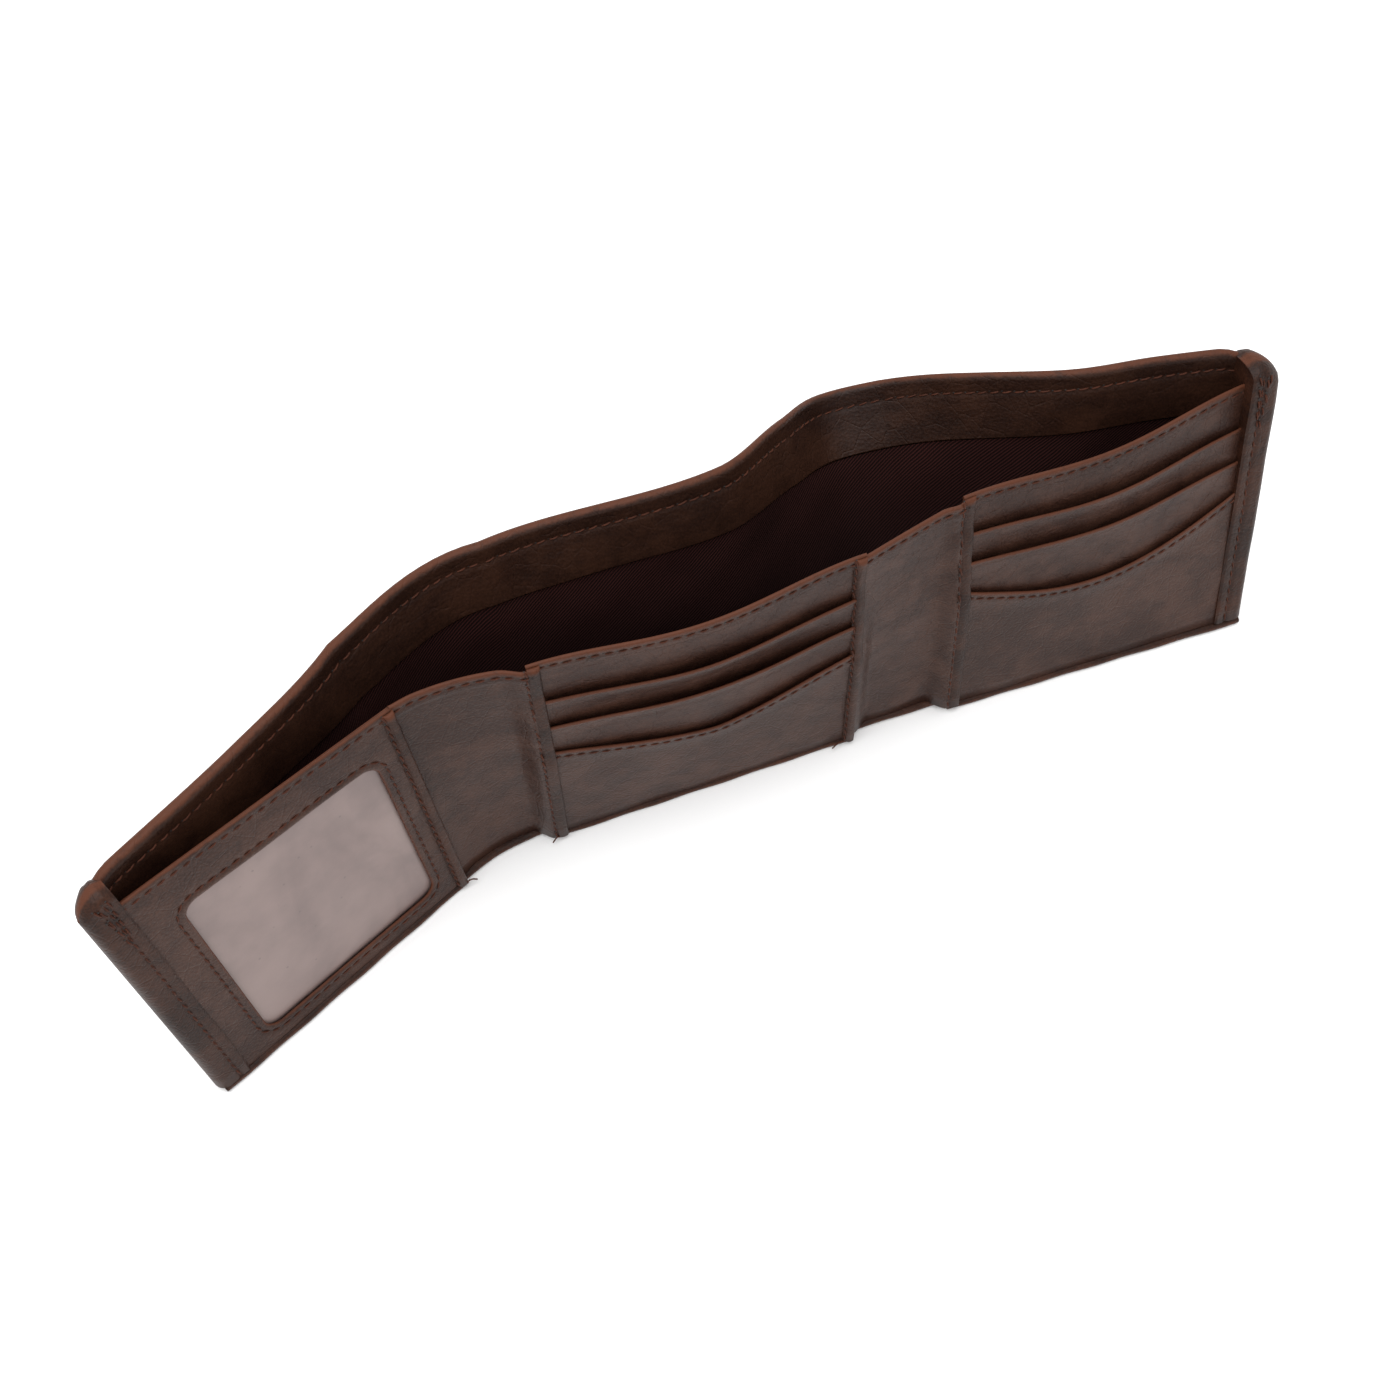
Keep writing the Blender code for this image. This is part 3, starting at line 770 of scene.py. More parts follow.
def cover_parts(walls):
    """Stretches of the cover: name, ends, the bodies and feet of its bend, which is not applied, and
    the CAD nodes' ending.
    """
    parts = []
    for side, sign in SIDES:
        inner_fold = walls.foot(sign * walls.centre_edge)
        outer_fold = walls.foot(sign * walls.wing_edge)
        reach = abs(walls.left_end if sign < 0.0 else walls.right_end)
        settled = walls.wing_edge + SETTLED[side] * (reach - walls.wing_edge)
        back, wrap, end = f"back_{side}", f"wrap_{side}", f"tip_{side}"
        stretches = [
            ("centre", 0.0, walls.centre_edge, ("centre", back, (0.0, 0.0, 0.0), inner_fold),
             "centre"),
            ("fold", walls.centre_edge, walls.wing_edge, (back, wrap, inner_fold, outer_fold),
             f"fold_{side}"),
            ("wing", walls.wing_edge, reach,
             (wrap, end, outer_fold, walls.foot(sign * settled)), side),
        ]
        for name, near, far, bend, node in stretches:
            ends = sorted((sign * near, sign * far))
            parts.append((f"{name}_{side}", ends[0], ends[1], bend, node))
    return parts


def fold_parts(walls):
    """The two folds: side, ends and the bodies and feet of a bend there, which is not applied."""
    parts = []
    for side, sign in SIDES:
        inner_fold, outer_fold = sign * walls.centre_edge, sign * walls.wing_edge
        ends = sorted((inner_fold, outer_fold))
        bend = ("centre", f"{side}_wing", walls.foot(inner_fold), walls.foot(outer_fold))
        parts.append((side, ends[0], ends[1], bend))
    return parts


# ---------------------------------------------------------------- the sheets

def sheet_foot(s, v):
    return leather().hem_height + 0.0 * s


def stack_depth(layers):
    cut = leather()
    return cut.panel_leather + layers * (cut.clearance + cut.slot_leather)


def stack_at(tops, s, v):
    """Front depth of a panel's pockets at a height: only the sheets whose edge is above it count."""
    cut = leather()
    ease_length = 0.0022
    depth = cut.panel_leather + 0.0 * s + 0.0 * v
    for top in tops:
        depth = depth + (cut.clearance + cut.slot_leather) * smooth((top - v) / ease_length + 0.5)
    return depth


def pocket_tops(side):
    """Heights of a panel's pocket edges at its side seams."""
    cut = leather()
    if side == "centre":
        drops = (cut.centre_slot_upper, cut.centre_slot_lower, cut.centre_pocket)
    else:
        drops = (cut.right_slot_upper, cut.right_slot_lower, cut.right_pocket)
    return [stance().panel_height - drop for drop in drops]


def ridge_leather():
    """Thickness of a folded ridge where it lies on its own strip."""
    return leather().panel_leather + RIDGE_EXTRA


def facing_foot():
    """Height of the rim facing's lower edge, where the lining starts."""
    return stance().cover_height - leather().facing_height - FACING_TOP_DROP


def left_stack():
    cut = leather()
    return 2.0 * cut.panel_leather + cut.clearance + cut.film + cut.recess


def cover_leaf(walls, start, end):
    """The outer leather, its rolled rim and the leather facing inside the rim."""
    rim_drop, drop_length = 0.0016, 0.006
    rim_centre, groove_width = 0.0012, 0.0007
    cut = leather()
    height = stance().cover_height
    lower_edge = facing_foot()
    facing = cut.clearance + cut.slot_leather

    def top(s, v):
        """The rim runs down into the turned hem at each end."""
        near = np.minimum(s - walls.left_end, walls.right_end - s)
        return height - rim_drop * np.clip(1.0 - near / drop_length, 0.0, 1.0) ** 2 + 0.0 * v

    def unevenness(s, v):
        calm = smooth((height - v) / 0.030) * smooth(v / 0.012)
        return ripple(s, v, 0.0011, 0.4) * calm

    def front(s, v):
        rim = 0.00050 * bump_at(v, top(s, v) - rim_centre, 0.0026)
        groove = 0.00022 * bump_at(v, top(s, v) - thread().rim_margin, groove_width)
        return facing * smooth((v - lower_edge) / 0.0005) + rim - groove + unevenness(s, v)

    def back(s, v):
        rim = 0.00045 * bump_at(v, top(s, v) - rim_centre, 0.0028)
        groove = 0.00020 * bump_at(v, top(s, v) - thread().rim_margin, groove_width)
        return -cut.cover_leather - rim + groove + unevenness(s, v)

    return Leaf(walls.cover, start, end, sheet_foot, top, back, front, 0.0003)


def lining_leaf(walls, start, end):
    cover = cover_leaf(walls, start, end)
    top = facing_foot()

    def back(s, v):
        return cover.front(s, np.minimum(v, top - 0.0008)) + 0.0001

    def front(s, v):
        return back(s, v) + leather().cloth

    return Leaf(walls.cover, start, end, sheet_foot, top, back, front, 0.0002, 5)


def panel_groove(s, v, top):
    return 0.00018 * bump_at(v, top - thread().margin, 0.00065)


def panel_leaf(walls, start, end, top, front_depth, back=0.0, pattern=1):
    """A panel with its top edge turned over and stitched."""
    top = level(top)

    def front(s, v):
        edge = top(s, v)
        turned = 0.00028 * smooth((v - (edge - 0.0052)) / 0.0009)
        return front_depth + turned - panel_groove(s, v, edge) + ripple(s, v, 0.00022, pattern)

    return Leaf(walls.inner, start, end, sheet_foot, top, back, front, 0.0012, pattern)


def pocket_leaf(walls, start, end, layer, top, stitched, pattern):
    """A card slot or pocket whose lip stands a little open between its sewn ends."""
    cut = leather()
    behind = stack_depth(layer) + cut.clearance
    top = level(top)
    gape = cut.lip_gape * (0.55 if stitched else 1.0)

    def open_lip(s, v):
        share = np.clip((s - start) / (end - start), 0.0, 1.0)
        held = np.sin(math.pi * share) ** 0.45
        drop = top(s, 0.0) - v
        return gape * held * smooth(1.0 - drop / 0.0085) + ripple(s, v, 0.0002, 3.0 * pattern)

    def front(s, v):
        drop = top(s, 0.0) - v
        crease = 0.00013 * bump_at(drop, 0.0014, 0.0003) * (0.0 if stitched else 1.0)
        groove = 0.00018 * bump_at(drop, thread().margin, 0.00065) * (1.0 if stitched else 0.0)
        return behind + cut.slot_leather + open_lip(s, v) - crease - groove

    def back(s, v):
        return behind + open_lip(s, v)

    return Leaf(walls.inner, start, end, sheet_foot, top, back, front, 0.0008, pattern)


def dipping(walls, drop=0.0):
    """A height that runs along the card panels' top edge, drop below it."""
    return lambda s, v: stance().panel_height - walls.sag(s) - drop + 0.0 * v


def centre_pocket_top(walls):
    """The centre pocket's edge: two straight runs down to a shallow, slightly rounded point."""
    cut = leather()
    rounding = 0.0022

    def top(s, v):
        from_point = s - cut.centre_dip_at
        soft = np.sqrt(from_point ** 2 + rounding ** 2) - rounding
        reach = soft / (walls.centre_edge - np.sign(from_point) * cut.centre_dip_at)
        dip = cut.centre_dip * (1.0 - np.minimum(reach, 1.0))
        return stance().panel_height - walls.sag(s) - cut.centre_pocket - dip

    return top


def right_pocket_top(walls):
    """The right pocket's hollow edge."""
    cut = leather()
    middle = walls.wing_edge + stance().right_width / 2.0

    def top(s, v):
        reach = (s - middle) / (stance().right_width / 2.0)
        hollow = cut.right_sag * (1.0 - reach * reach)
        return stance().panel_height - walls.sag(s) - cut.right_pocket - hollow

    return top


def card_sheets(walls, side):
    """A card panel's sheets from the back: name, CAD node and leaf."""
    cut = leather()
    if side == "centre":
        start, end, first_pattern = -walls.centre_edge, walls.centre_edge, 1
        drops = (cut.centre_slot_upper, cut.centre_slot_lower)
        pocket_top = centre_pocket_top(walls)
    else:
        start, end, first_pattern = walls.wing_edge, walls.right_end, 6
        drops = (cut.right_slot_upper, cut.right_slot_lower)
        pocket_top = right_pocket_top(walls)
    panel = panel_leaf(
        walls, start, end, dipping(walls), cut.panel_leather, 0.0, first_pattern
    )
    sheets = [(f"{side}_backing", f"{side}_panel", panel)]
    tops = [dipping(walls, drop) for drop in drops] + [pocket_top]
    names = ("upper_slot", "lower_slot", "front_pocket")
    nodes = ("slot_1", "slot_2", "pocket")
    for layer, (name, node, top) in enumerate(zip(names, nodes, tops)):
        stitched = name == "front_pocket"
        leaf = pocket_leaf(
            walls, start, end, layer, top, stitched, first_pattern + 1 + layer
        )
        sheets.append((f"{side}_{name}", f"{side}_{node}", leaf))
    return sheets


def gusset_leaf(walls, side, start, end):
    """The plain folding strip. It climbs over the next panel's pockets at its right edge."""
    cut = leather()
    height = stance().panel_height - 0.0012
    row_at = end - STRIP_ROW
    climb_from = end - 0.0065
    over = pocket_tops("centre" if side == "left" else "right")

    def beside(s, v):
        """Depth of the panel edge on the strip's left."""
        if side == "left":
            return left_stack() - 0.0014 + 0.0 * s + 0.0 * v
        return stack_at(pocket_tops("centre"), s, v) - 0.0006

    def lift(s, v):
        left = (beside(s, v) - cut.panel_leather) * smooth(1.0 - (s - start) / 0.0055)
        climb = stack_at(over, s, v) + cut.clearance + 0.0001
        return np.maximum(left, 0.0) + climb * smooth((s - climb_from) / (row_at - climb_from))

    def front(s, v):
        groove = 0.0003 * bump_at(s, row_at, 0.0005)
        top_row = panel_groove(s, v, height)
        turned = 0.00026 * smooth((v - (height - 0.0050)) / 0.0009)
        swell = ripple(s, v, 0.0007, 2.0) * smooth((height - v) / 0.02)
        between = np.sin(math.pi * np.clip((s - start) / (end - start), 0.0, 1.0))
        return cut.panel_leather + lift(s, v) + turned - groove - top_row + swell * between

    def back(s, v):
        return front(s, v) - 0.0013

    return Leaf(walls.inner, start, end, sheet_foot, height, back, front, 0.0012, 10)


def ridge_leaf(walls, start, end, base, rise, pattern):
    """The folded, slightly swollen right edge of a strip, rise above its base at the sewn side."""
    height = stance().panel_height - 0.0006
    round_width = 0.0007
    full = ridge_leather()

    def front(s, v):
        x = s - start
        swell = 0.00042 * np.sin(math.pi * np.clip(x / (end - start), 0.0, 1.0)) ** 0.8
        over = np.clip((x - (end - start - round_width)) / round_width, 0.0, 1.0)
        thickness = rise + (full - rise) * smooth(x / 0.0014)
        rounded = thickness * (1.0 - np.sqrt(np.maximum(1.0 - over ** 2, 0.0)))
        uneven = ripple(s, v, 0.00016, 5.0 * pattern)
        return base(s, v) + thickness + swell - rounded + uneven * (1.0 - over)

    def back(s, v):
        return base(s, v) - 0.0004

    return Leaf(walls.inner, start, end, sheet_foot, height, back, front, 0.0012, pattern)


def ridges(walls):
    """Seam ridges: name, body, CAD node and leaf. Each folds over what lies to its right."""
    cut = leather()
    wide = cut.band_width
    lying = cut.clearance * 0.3

    def on_frame(s, v):
        return left_stack() + lying + 0.0 * s + 0.0 * v

    def on_centre(s, v):
        return stack_at(pocket_tops("centre"), s, v) + lying

    def on_right(s, v):
        return stack_at(pocket_tops("right"), s, v) + lying

    edge, wing = walls.centre_edge, walls.wing_edge
    full, flush = ridge_leather(), 0.0001
    return [
        ("identity_side_ridge", "left_wing", "seam_band_left_wing",
         ridge_leaf(walls, -wing - wide, -wing, on_frame, flush, 11)),
        ("left_strip_ridge", "centre", "seam_band_centre_left",
         ridge_leaf(walls, -edge, -edge + wide, on_centre, full, 12)),
        ("centre_side_ridge", "centre", "seam_band_centre_right",
         ridge_leaf(walls, edge - wide, edge, on_centre, flush, 13)),
        ("right_strip_ridge", "right_wing", "seam_band_right_wing",
         ridge_leaf(walls, wing, wing + wide, on_right, full, 14)),
    ]


def wing_end(walls, side):
    """Which way a wing points along the wallet, and where it ends."""
    return (-1.0, walls.left_end) if side == "left" else (1.0, walls.right_end)


def hem_leaf(walls, side):
    """The cover's end, turned over the panel and stitched, with a rounded top corner."""
    size, cut = stance(), leather()
    wide = size.end_hem_width
    sign, edge = wing_end(walls, side)
    stack = left_stack() if side == "left" else stack_depth(POCKET_SHEETS)
    inside, rounding = 0.0016, 0.0030
    end_gape = size.gape_left_end if side == "left" else size.gape_right_end
    start, end = sorted((edge - sign * inside, edge + sign * wide))
    behind = size.setback + cut.cover_leather
    raised = stack + cut.panel_leather * 0.9

    def out(s):
        return np.clip(sign * (s - edge), -inside, wide)

    def round_off(s):
        """1 over most of the hem, falling to 0 as a quarter circle at its outer edge."""
        over = np.clip((out(s) - (wide - rounding)) / rounding, 0.0, 0.995)
        return np.sqrt(1.0 - over ** 2)

    def top(s, v):
        corner = wide * 0.93
        over = np.clip((out(s) - (wide - corner)) / corner, 0.0, 0.97)
        drop = corner * (1.0 - np.sqrt(1.0 - over ** 2))
        sunk = 0.0010 * smooth(1.0 - (out(s) + inside) / 0.0026)
        return size.cover_height + 0.0003 - sunk - drop

    def middle(s, v):
        return (raised - behind) / 2.0 + 0.0 * s

    def pinch(s, v):
        outer = smooth((out(s) - 0.0020) / 0.0040)
        return round_off(s) * (1.0 - 0.30 * outer * smooth((v - 0.080) / 0.014))

    def front(s, v):
        groove = 0.00045 * bump_at(out(s), HEM_ROW, 0.0006)
        fold = 0.0005 * smooth(1.0 - (out(s) + inside) / 0.0007)
        uneven = ripple(s * 2.0, v, 0.0003, 6.0) * smooth(v / 0.01)
        return middle(s, v) + (raised + behind) / 2.0 * pinch(s, v) - groove - fold + uneven

    def back(s, v):
        gape = v * math.tan(end_gape) + 0.0006
        groove = 0.00035 * bump_at(out(s), HEM_ROW, 0.0006)
        return middle(s, v) - ((raised + behind) / 2.0 + gape) * pinch(s, v) + groove

    return Leaf(walls.inner, start, end, sheet_foot, top, back, front, -0.0007, 15)


def divider_leaf(walls, start, end):
    cut = leather()
    height = stance().panel_height - DIVIDER_DROP
    return Leaf(
        walls.inner, start, end, sheet_foot, height, -cut.clearance - cut.cloth, -cut.clearance,
        0.0002, 16,
    )


def foot_hem(walls, name, start, end, back, front, lift=0.0):
    """The thin rolled hem along the floor: a rounded oblong section, slightly wavy in front."""
    height = leather().hem_height + 0.0006
    s = columns(start, end)[:, None]
    turn = np.linspace(0.0, math.tau, 24, endpoint=False)[None, :]
    half = (front - back) / 2.0 + 0.0 * s
    wave = 0.00012 * np.sin(s * 320.0) * (np.cos(turn) > 0.0)
    v = lift + (height - lift) / 2.0 * (1.0 + np.sign(np.sin(turn)) * np.abs(np.sin(turn)) ** 0.7)
    d = (front + back) / 2.0 + half * np.sign(np.cos(turn)) * np.abs(np.cos(turn)) ** 0.35 + wave
    wear = 0.75 * bump_at(v, height / 2.0, 0.0012) * (np.cos(turn) > -0.2)
    return skin(name, walls.upright, s, v, d, wear, 17)


# ---------------------------------------------------------------- the identity window

class Window:
    """The rounded opening in the left panel and the rings of leather round it."""

    def __init__(self, walls):
        cut, size = leather(), stance()
        self.low = walls.left_end + cut.window_left
        self.high = -walls.wing_edge - cut.window_right
        self.foot = cut.window_foot
        self.head = size.panel_height - cut.window_head
        self.outer = (walls.left_end, -walls.wing_edge, cut.hem_height, size.panel_height)
        self.corner = cut.window_corner
        self.face = left_stack()
        self.back = self.face - cut.panel_leather

    def outline(self, grow, per_side=14, per_corner=8):
        """Flat points round the opening, grow outside its edge, anticlockwise."""
        radius = self.corner + grow
        corners = [
            (self.high - self.corner, self.foot + self.corner, -90.0),
            (self.high - self.corner, self.head - self.corner, 0.0),
            (self.low + self.corner, self.head - self.corner, 90.0),
            (self.low + self.corner, self.foot + self.corner, 180.0),
        ]
        arcs = []
        for s, v, first in corners:
            turn = np.radians(first + np.linspace(0.0, 90.0, per_corner + 1))
            arcs.append(np.stack([s + radius * np.cos(turn), v + radius * np.sin(turn)], axis=-1))
        points = []
        for arc, following in zip(arcs, arcs[1:] + arcs[:1]):
            share = np.linspace(0.0, 1.0, per_side + 1)[1:-1, None]
            points += [arc, arc[-1] + (following[0] - arc[-1]) * share]
        return np.concatenate(points)

    def border(self, inset):
        """The panel's own edge, point for point with the outline."""
        low, high, foot, head = self.outer
        ring = self.outline(0.0)
        centre = np.array([(self.low + self.high) / 2.0, (self.foot + self.head) / 2.0])
        window = np.array([self.high - self.low, self.head - self.foot]) / 2.0
        box = np.where(
            ring > centre, np.array([high, head]) - centre, centre - np.array([low, foot])
        ) - inset
        reach = (ring - centre) / window
        reach /= np.abs(reach).max(axis=1, keepdims=True)
        return centre + reach * box


def frame_unevenness(s, v):
    return ripple(s, v, 0.00016, 9.0)


def identity_frame(walls):
    """The leather frame: rings from the window's back edge, over its front, to the panel's edge."""
    window = Window(walls)
    face, back = window.face, window.back
    row_at = thread().margin
    rings = [(window.outline(0.0004), back, 0.2), (window.outline(0.0001), back + 0.00025, 0.6)]
    rings += [(window.outline(0.0), (face + back) / 2.0, 0.9)]
    rings += [(window.outline(0.00012), face - 0.00012, 0.9), (window.outline(0.0004), face, 0.6)]
    for grow in (0.0009, 0.0015, 0.0019, 0.0023, 0.0026, 0.0031, 0.0038, 0.0048, 0.0060):
        groove = 0.00022 * bump_at(grow, row_at, 0.0006)
        swell = 0.00016 * bump_at(grow, 0.0011, 0.0008)
        rings.append((window.outline(grow), face - groove + swell, 0.25 * (grow < 0.001)))
    edge = window.border(0.00045)
    inner_ring = rings[-1][0]
    for share in (0.25, 0.5, 0.75, 0.9):
        rings.append((inner_ring + (edge - inner_ring) * share, face, 0.0))
    rings.append((edge, face, 0.7))
    rings.append((window.border(0.0001), face - 0.00022, 1.0))
    rings.append((window.border(0.0), (face + back) / 2.0, 1.0))
    rings.append((edge, back, 0.7))
    flat = np.stack([ring for ring, _, _ in rings])
    depth = np.stack([np.full(len(ring), d) for ring, d, _ in rings])
    wear = np.stack([np.full(len(ring), w) for ring, _, w in rings])
    s, v = flat[..., 0], flat[..., 1]
    height = window.outer[3]
    shown = (depth >= face - 0.0003).astype(float)
    depth = depth + shown * (frame_unevenness(s, v) - panel_groove(s, v, height))
    wear = wear * np.where(np.arange(len(rings))[:, None] > 8, bump_at(v, height, 0.003), 1.0)
    count, around = s.shape
    index = np.arange(count * around).reshape(count, around)
    next_ring, beside = np.roll(index, -1, axis=0), np.roll(index, -1, axis=1)
    corner = np.roll(next_ring, -1, axis=1)
    faces = np.stack([index, beside, corner, next_ring], axis=-1).reshape(-1, 4).tolist()
    places = walls.inner(s, v, depth).reshape(-1, 3)
    pattern = np.stack([s, v, depth + 18 * PATTERN_SHIFT], axis=-1).reshape(-1, 3)
    return shell("identity_frame", places, faces, pattern, wear.reshape(-1))


def identity_film(walls):
    """The film, bellied forwards a little and slack towards one corner."""
    window, cut = Window(walls), leather()
    overlap = cut.film_overlap
    start, end = window.low - overlap, window.high + overlap
    foot, head = window.foot - overlap, window.head + overlap
    base = cut.panel_leather + cut.clearance

    def belly(s, v):
        across = np.sin(math.pi * np.clip((s - start) / (end - start), 0.0, 1.0))
        up = np.sin(math.pi * np.clip((v - foot) / (head - foot), 0.0, 1.0))
        return 0.0005 * across * up + ripple(s, v, 0.00035, 1.1) * across * up

    def front(s, v):
        return base + cut.film + belly(s, v)

    def back(s, v):
        return base + belly(s, v)

    return Leaf(walls.inner, start, end, foot, head, back, front, 0.0001, 19)


# ---------------------------------------------------------------- stitches by geometry nodes

class Tree:
    """A geometry node tree with named inputs."""

    def __init__(self, name):
        self.group = bpy.data.node_groups.new(name, "GeometryNodeTree")
        self.faces = self.group.interface
        self.faces.new_socket("Geometry", in_out="OUTPUT", socket_type="NodeSocketGeometry")
        self.faces.new_socket("Geometry", in_out="INPUT", socket_type="NodeSocketGeometry")
        self.identifiers = {}
        self.entry = None

    def input(self, name, kind, default=None):
        socket = self.faces.new_socket(name, in_out="INPUT", socket_type=kind)
        if default is not None:
            socket.default_value = default
        self.identifiers[name] = socket.identifier

    def start(self):
        self.entry = self.group.nodes.new("NodeGroupInput")

    def given(self, name):
        return self.entry.outputs[name]

    def node(self, kind, settings=None, inputs=None):
        node = self.group.nodes.new(kind)
        for key, setting in (settings or {}).items():
            setattr(node, key, setting)
        for key, fed in (inputs or {}).items():
            if isinstance(fed, bpy.types.NodeSocket):
                self.group.links.new(fed, node.inputs[key])
            else:
                node.inputs[key].default_value = fed
        return node

    def out(self, kind, settings=None, inputs=None, output=0):
        return self.node(kind, settings, inputs).outputs[output]

    def maths(self, operation, first, second=0.0):
        return self.out("ShaderNodeMath", {"operation": operation}, {0: first, 1: second})

    def vector(self, x=0.0, y=0.0, z=0.0):
        return self.out("ShaderNodeCombineXYZ", None, {"X": x, "Y": y, "Z": z})


def stitch_tree():
    """Arched stitches, and flat dark discs of painted shade at the needle holes, along rows of edges
    whose points know their face's way out.
    """
    tree = Tree("stitch_rows")
    tree.input("Pitch", "NodeSocketFloat", 0.0034)
    tree.input("Stitch", "NodeSocketFloat", 0.0025)
    tree.input("Thickness", "NodeSocketFloat", 0.0005)
    tree.input("Slant", "NodeSocketFloat", 0.15)
    tree.input("Thread", "NodeSocketMaterial")
    tree.input("Hole shade", "NodeSocketMaterial")
    tree.start()
    pitch, thickness = tree.given("Pitch"), tree.given("Thickness")
    line = tree.out("GeometryNodeMeshToCurve", None, {0: tree.given("Geometry")})
    spaced = {"Curve": line, "Length": pitch}
    row = tree.out("GeometryNodeResampleCurve", {"mode": "LENGTH"}, spaced)
    outwards = tree.out(
        "GeometryNodeInputNamedAttribute", {"data_type": "FLOAT_VECTOR"}, {"Name": "outwards"}
    )
    tangent = tree.out("GeometryNodeInputTangent")
    along = tree.out("FunctionNodeAlignRotationToVector", {"axis": "X"}, {"Vector": tangent})
    aligned = tree.out(
        "FunctionNodeAlignRotationToVector", {"axis": "Z", "pivot_axis": "X"},
        {"Rotation": along, "Vector": outwards},
    )
    wander = tree.out(
        "FunctionNodeRandomValue", {"data_type": "FLOAT"}, {2: -0.09, 3: 0.09, "Seed": 4}, 1
    )
    slanted = tree.maths("ADD", tree.given("Slant"), wander)
    turn = tree.out("FunctionNodeEulerToRotation", None, {0: tree.vector(z=slanted)})
    rotation = tree.out(
        "FunctionNodeRotateRotation", {"rotation_space": "LOCAL"},
        {"Rotation": aligned, "Rotate By": turn},
    )
    reach = tree.maths("MULTIPLY", tree.given("Stitch"), 0.5)
    back_reach = tree.maths("MULTIPLY", reach, -1.0)
    sunk = tree.maths("MULTIPLY", thickness, -0.45)
    raised = tree.maths("MULTIPLY", thickness, 1.15)
    arch = tree.out(
        "GeometryNodeCurveQuadraticBezier", None,
        {"Resolution": 6, "Start": tree.vector(back_reach, 0.0, sunk),
         "Middle": tree.vector(0.0, 0.0, raised), "End": tree.vector(reach, 0.0, sunk)},
    )
    radius = tree.maths("MULTIPLY", thickness, 0.5)
    ring = tree.out("GeometryNodeCurvePrimitiveCircle", None, {"Resolution": 7, "Radius": radius})
    capped = {"Curve": arch, "Profile Curve": ring, "Fill Caps": True}
    stitch = tree.out("GeometryNodeCurveToMesh", None, capped)
    size = tree.out(
        "FunctionNodeRandomValue", {"data_type": "FLOAT"}, {2: 0.86, 3: 1.10, "Seed": 9}, 1
    )
    stitches = tree.out(
        "GeometryNodeInstanceOnPoints", None,
        {"Points": row, "Instance": stitch, "Rotation": rotation,
         "Scale": tree.vector(size, 1.0, 1.0)},
    )
    # Painted shade: a flattened near-black disc half a pitch along from each stitch, for the shade in
    # its needle hole.
    pit = tree.out("GeometryNodeMeshUVSphere", None, {"Segments": 8, "Rings": 5, "Radius": radius})
    pits = tree.out(
        "GeometryNodeInstanceOnPoints", None,
        {"Points": row, "Instance": pit, "Rotation": rotation,
         "Scale": tree.vector(1.25, 1.05, 0.30)},
    )
    moved = tree.out(
        "GeometryNodeTranslateInstances", None,
        {"Instances": pits, "Translation": tree.vector(tree.maths("MULTIPLY", pitch, 0.5), 0.0, 0.0)},
    )
    pieces = []
    for made, finish in ((stitches, "Thread"), (moved, "Hole shade")):
        real = tree.out("GeometryNodeRealizeInstances", None, {0: made})
        inputs = {"Geometry": real, "Material": tree.given(finish)}
        pieces.append(tree.out("GeometryNodeSetMaterial", None, inputs))
    join = tree.group.nodes.new("GeometryNodeJoinGeometry")
    for piece in pieces:
        tree.group.links.new(piece, join.inputs[0])
    smooth_shade = tree.out("GeometryNodeSetShadeSmooth", None, {0: join.outputs[0]})
    end = tree.group.nodes.new("NodeGroupOutput")
    tree.group.links.new(smooth_shade, end.inputs[0])
    return tree


def seam(wall, s, v, d, lift=0.00005):
    """A row in space: its points and the way out of the leather at each of them."""
    places = wall(s, v, d)
    away = wall(s, v, d + 0.001) - places
    away /= np.linalg.norm(away, axis=-1, keepdims=True)
    return places + away * lift, away


def turned_round(row):
    """The same row seen from the other side of the sheet."""
    places, away = row
    return places - 0.0001 * away, -away


def sew(tree, name, rows, body):
    """Stitches along rows, as one plain mesh that rides with a body, or keeps its place when given a
    bend.
    """
    points, edges, outwards = [], [], []
    for places, away in rows:
        first = len(points)
        points += [tuple(p) for p in places]
        outwards += away.ravel().tolist()
        edges += [(first + i, first + i + 1) for i in range(len(places) - 1)]
    mesh = bpy.data.meshes.new(name + "_rows")
    mesh.from_pydata(points, edges, [])
    mesh.attributes.new("outwards", "FLOAT_VECTOR", "POINT").data.foreach_set("vector", outwards)
    guide = show(name + "_rows", mesh)
    modifier = guide.modifiers.new("stitches", "NODES")
    modifier.node_group = tree.group
    kit = thread()
    settings = {
        "Pitch": kit.pitch,
        "Stitch": kit.stitch,
        "Thickness": kit.thickness,
        "Slant": kit.slant,
        "Thread": material("thread", sewing_thread),
        "Hole shade": material("needle_hole", needle_hole),
    }
    for key, setting in settings.items():
        modifier[tree.identifiers[key]] = setting
    graph = bpy.context.evaluated_depsgraph_get()
    made = bpy.data.meshes.new_from_object(guide.evaluated_get(graph))
    bpy.data.objects.remove(guide)
    if not made.polygons:
        raise RuntimeError(f"{name} has no stitches")
    piece = show(name, made)
    follow(piece, body)
    return piece


# ---------------------------------------------------------------- operators

class WALLET_OT_cover(bpy.types.Operator):
    """Make the outer cover with its rolled rim and leather facing, in stretches"""

    bl_idname = "wallet.cover"
    bl_label = "Outer cover"

    def execute(self, context):
        walls = Walls()
        step = facing_foot() + np.array([-0.0006, -0.0003, 0.0, 0.0002, 0.0004, 0.0007])
        for name, start, end, bend, node in cover_parts(walls):
            piece = cover_leaf(walls, start, end).make(f"outer_cover_{name}", extra_rows=step)
            dress(piece, "cover_leather", bend, f"cover_{node}", f"facing_{node}")
        return {"FINISHED"}


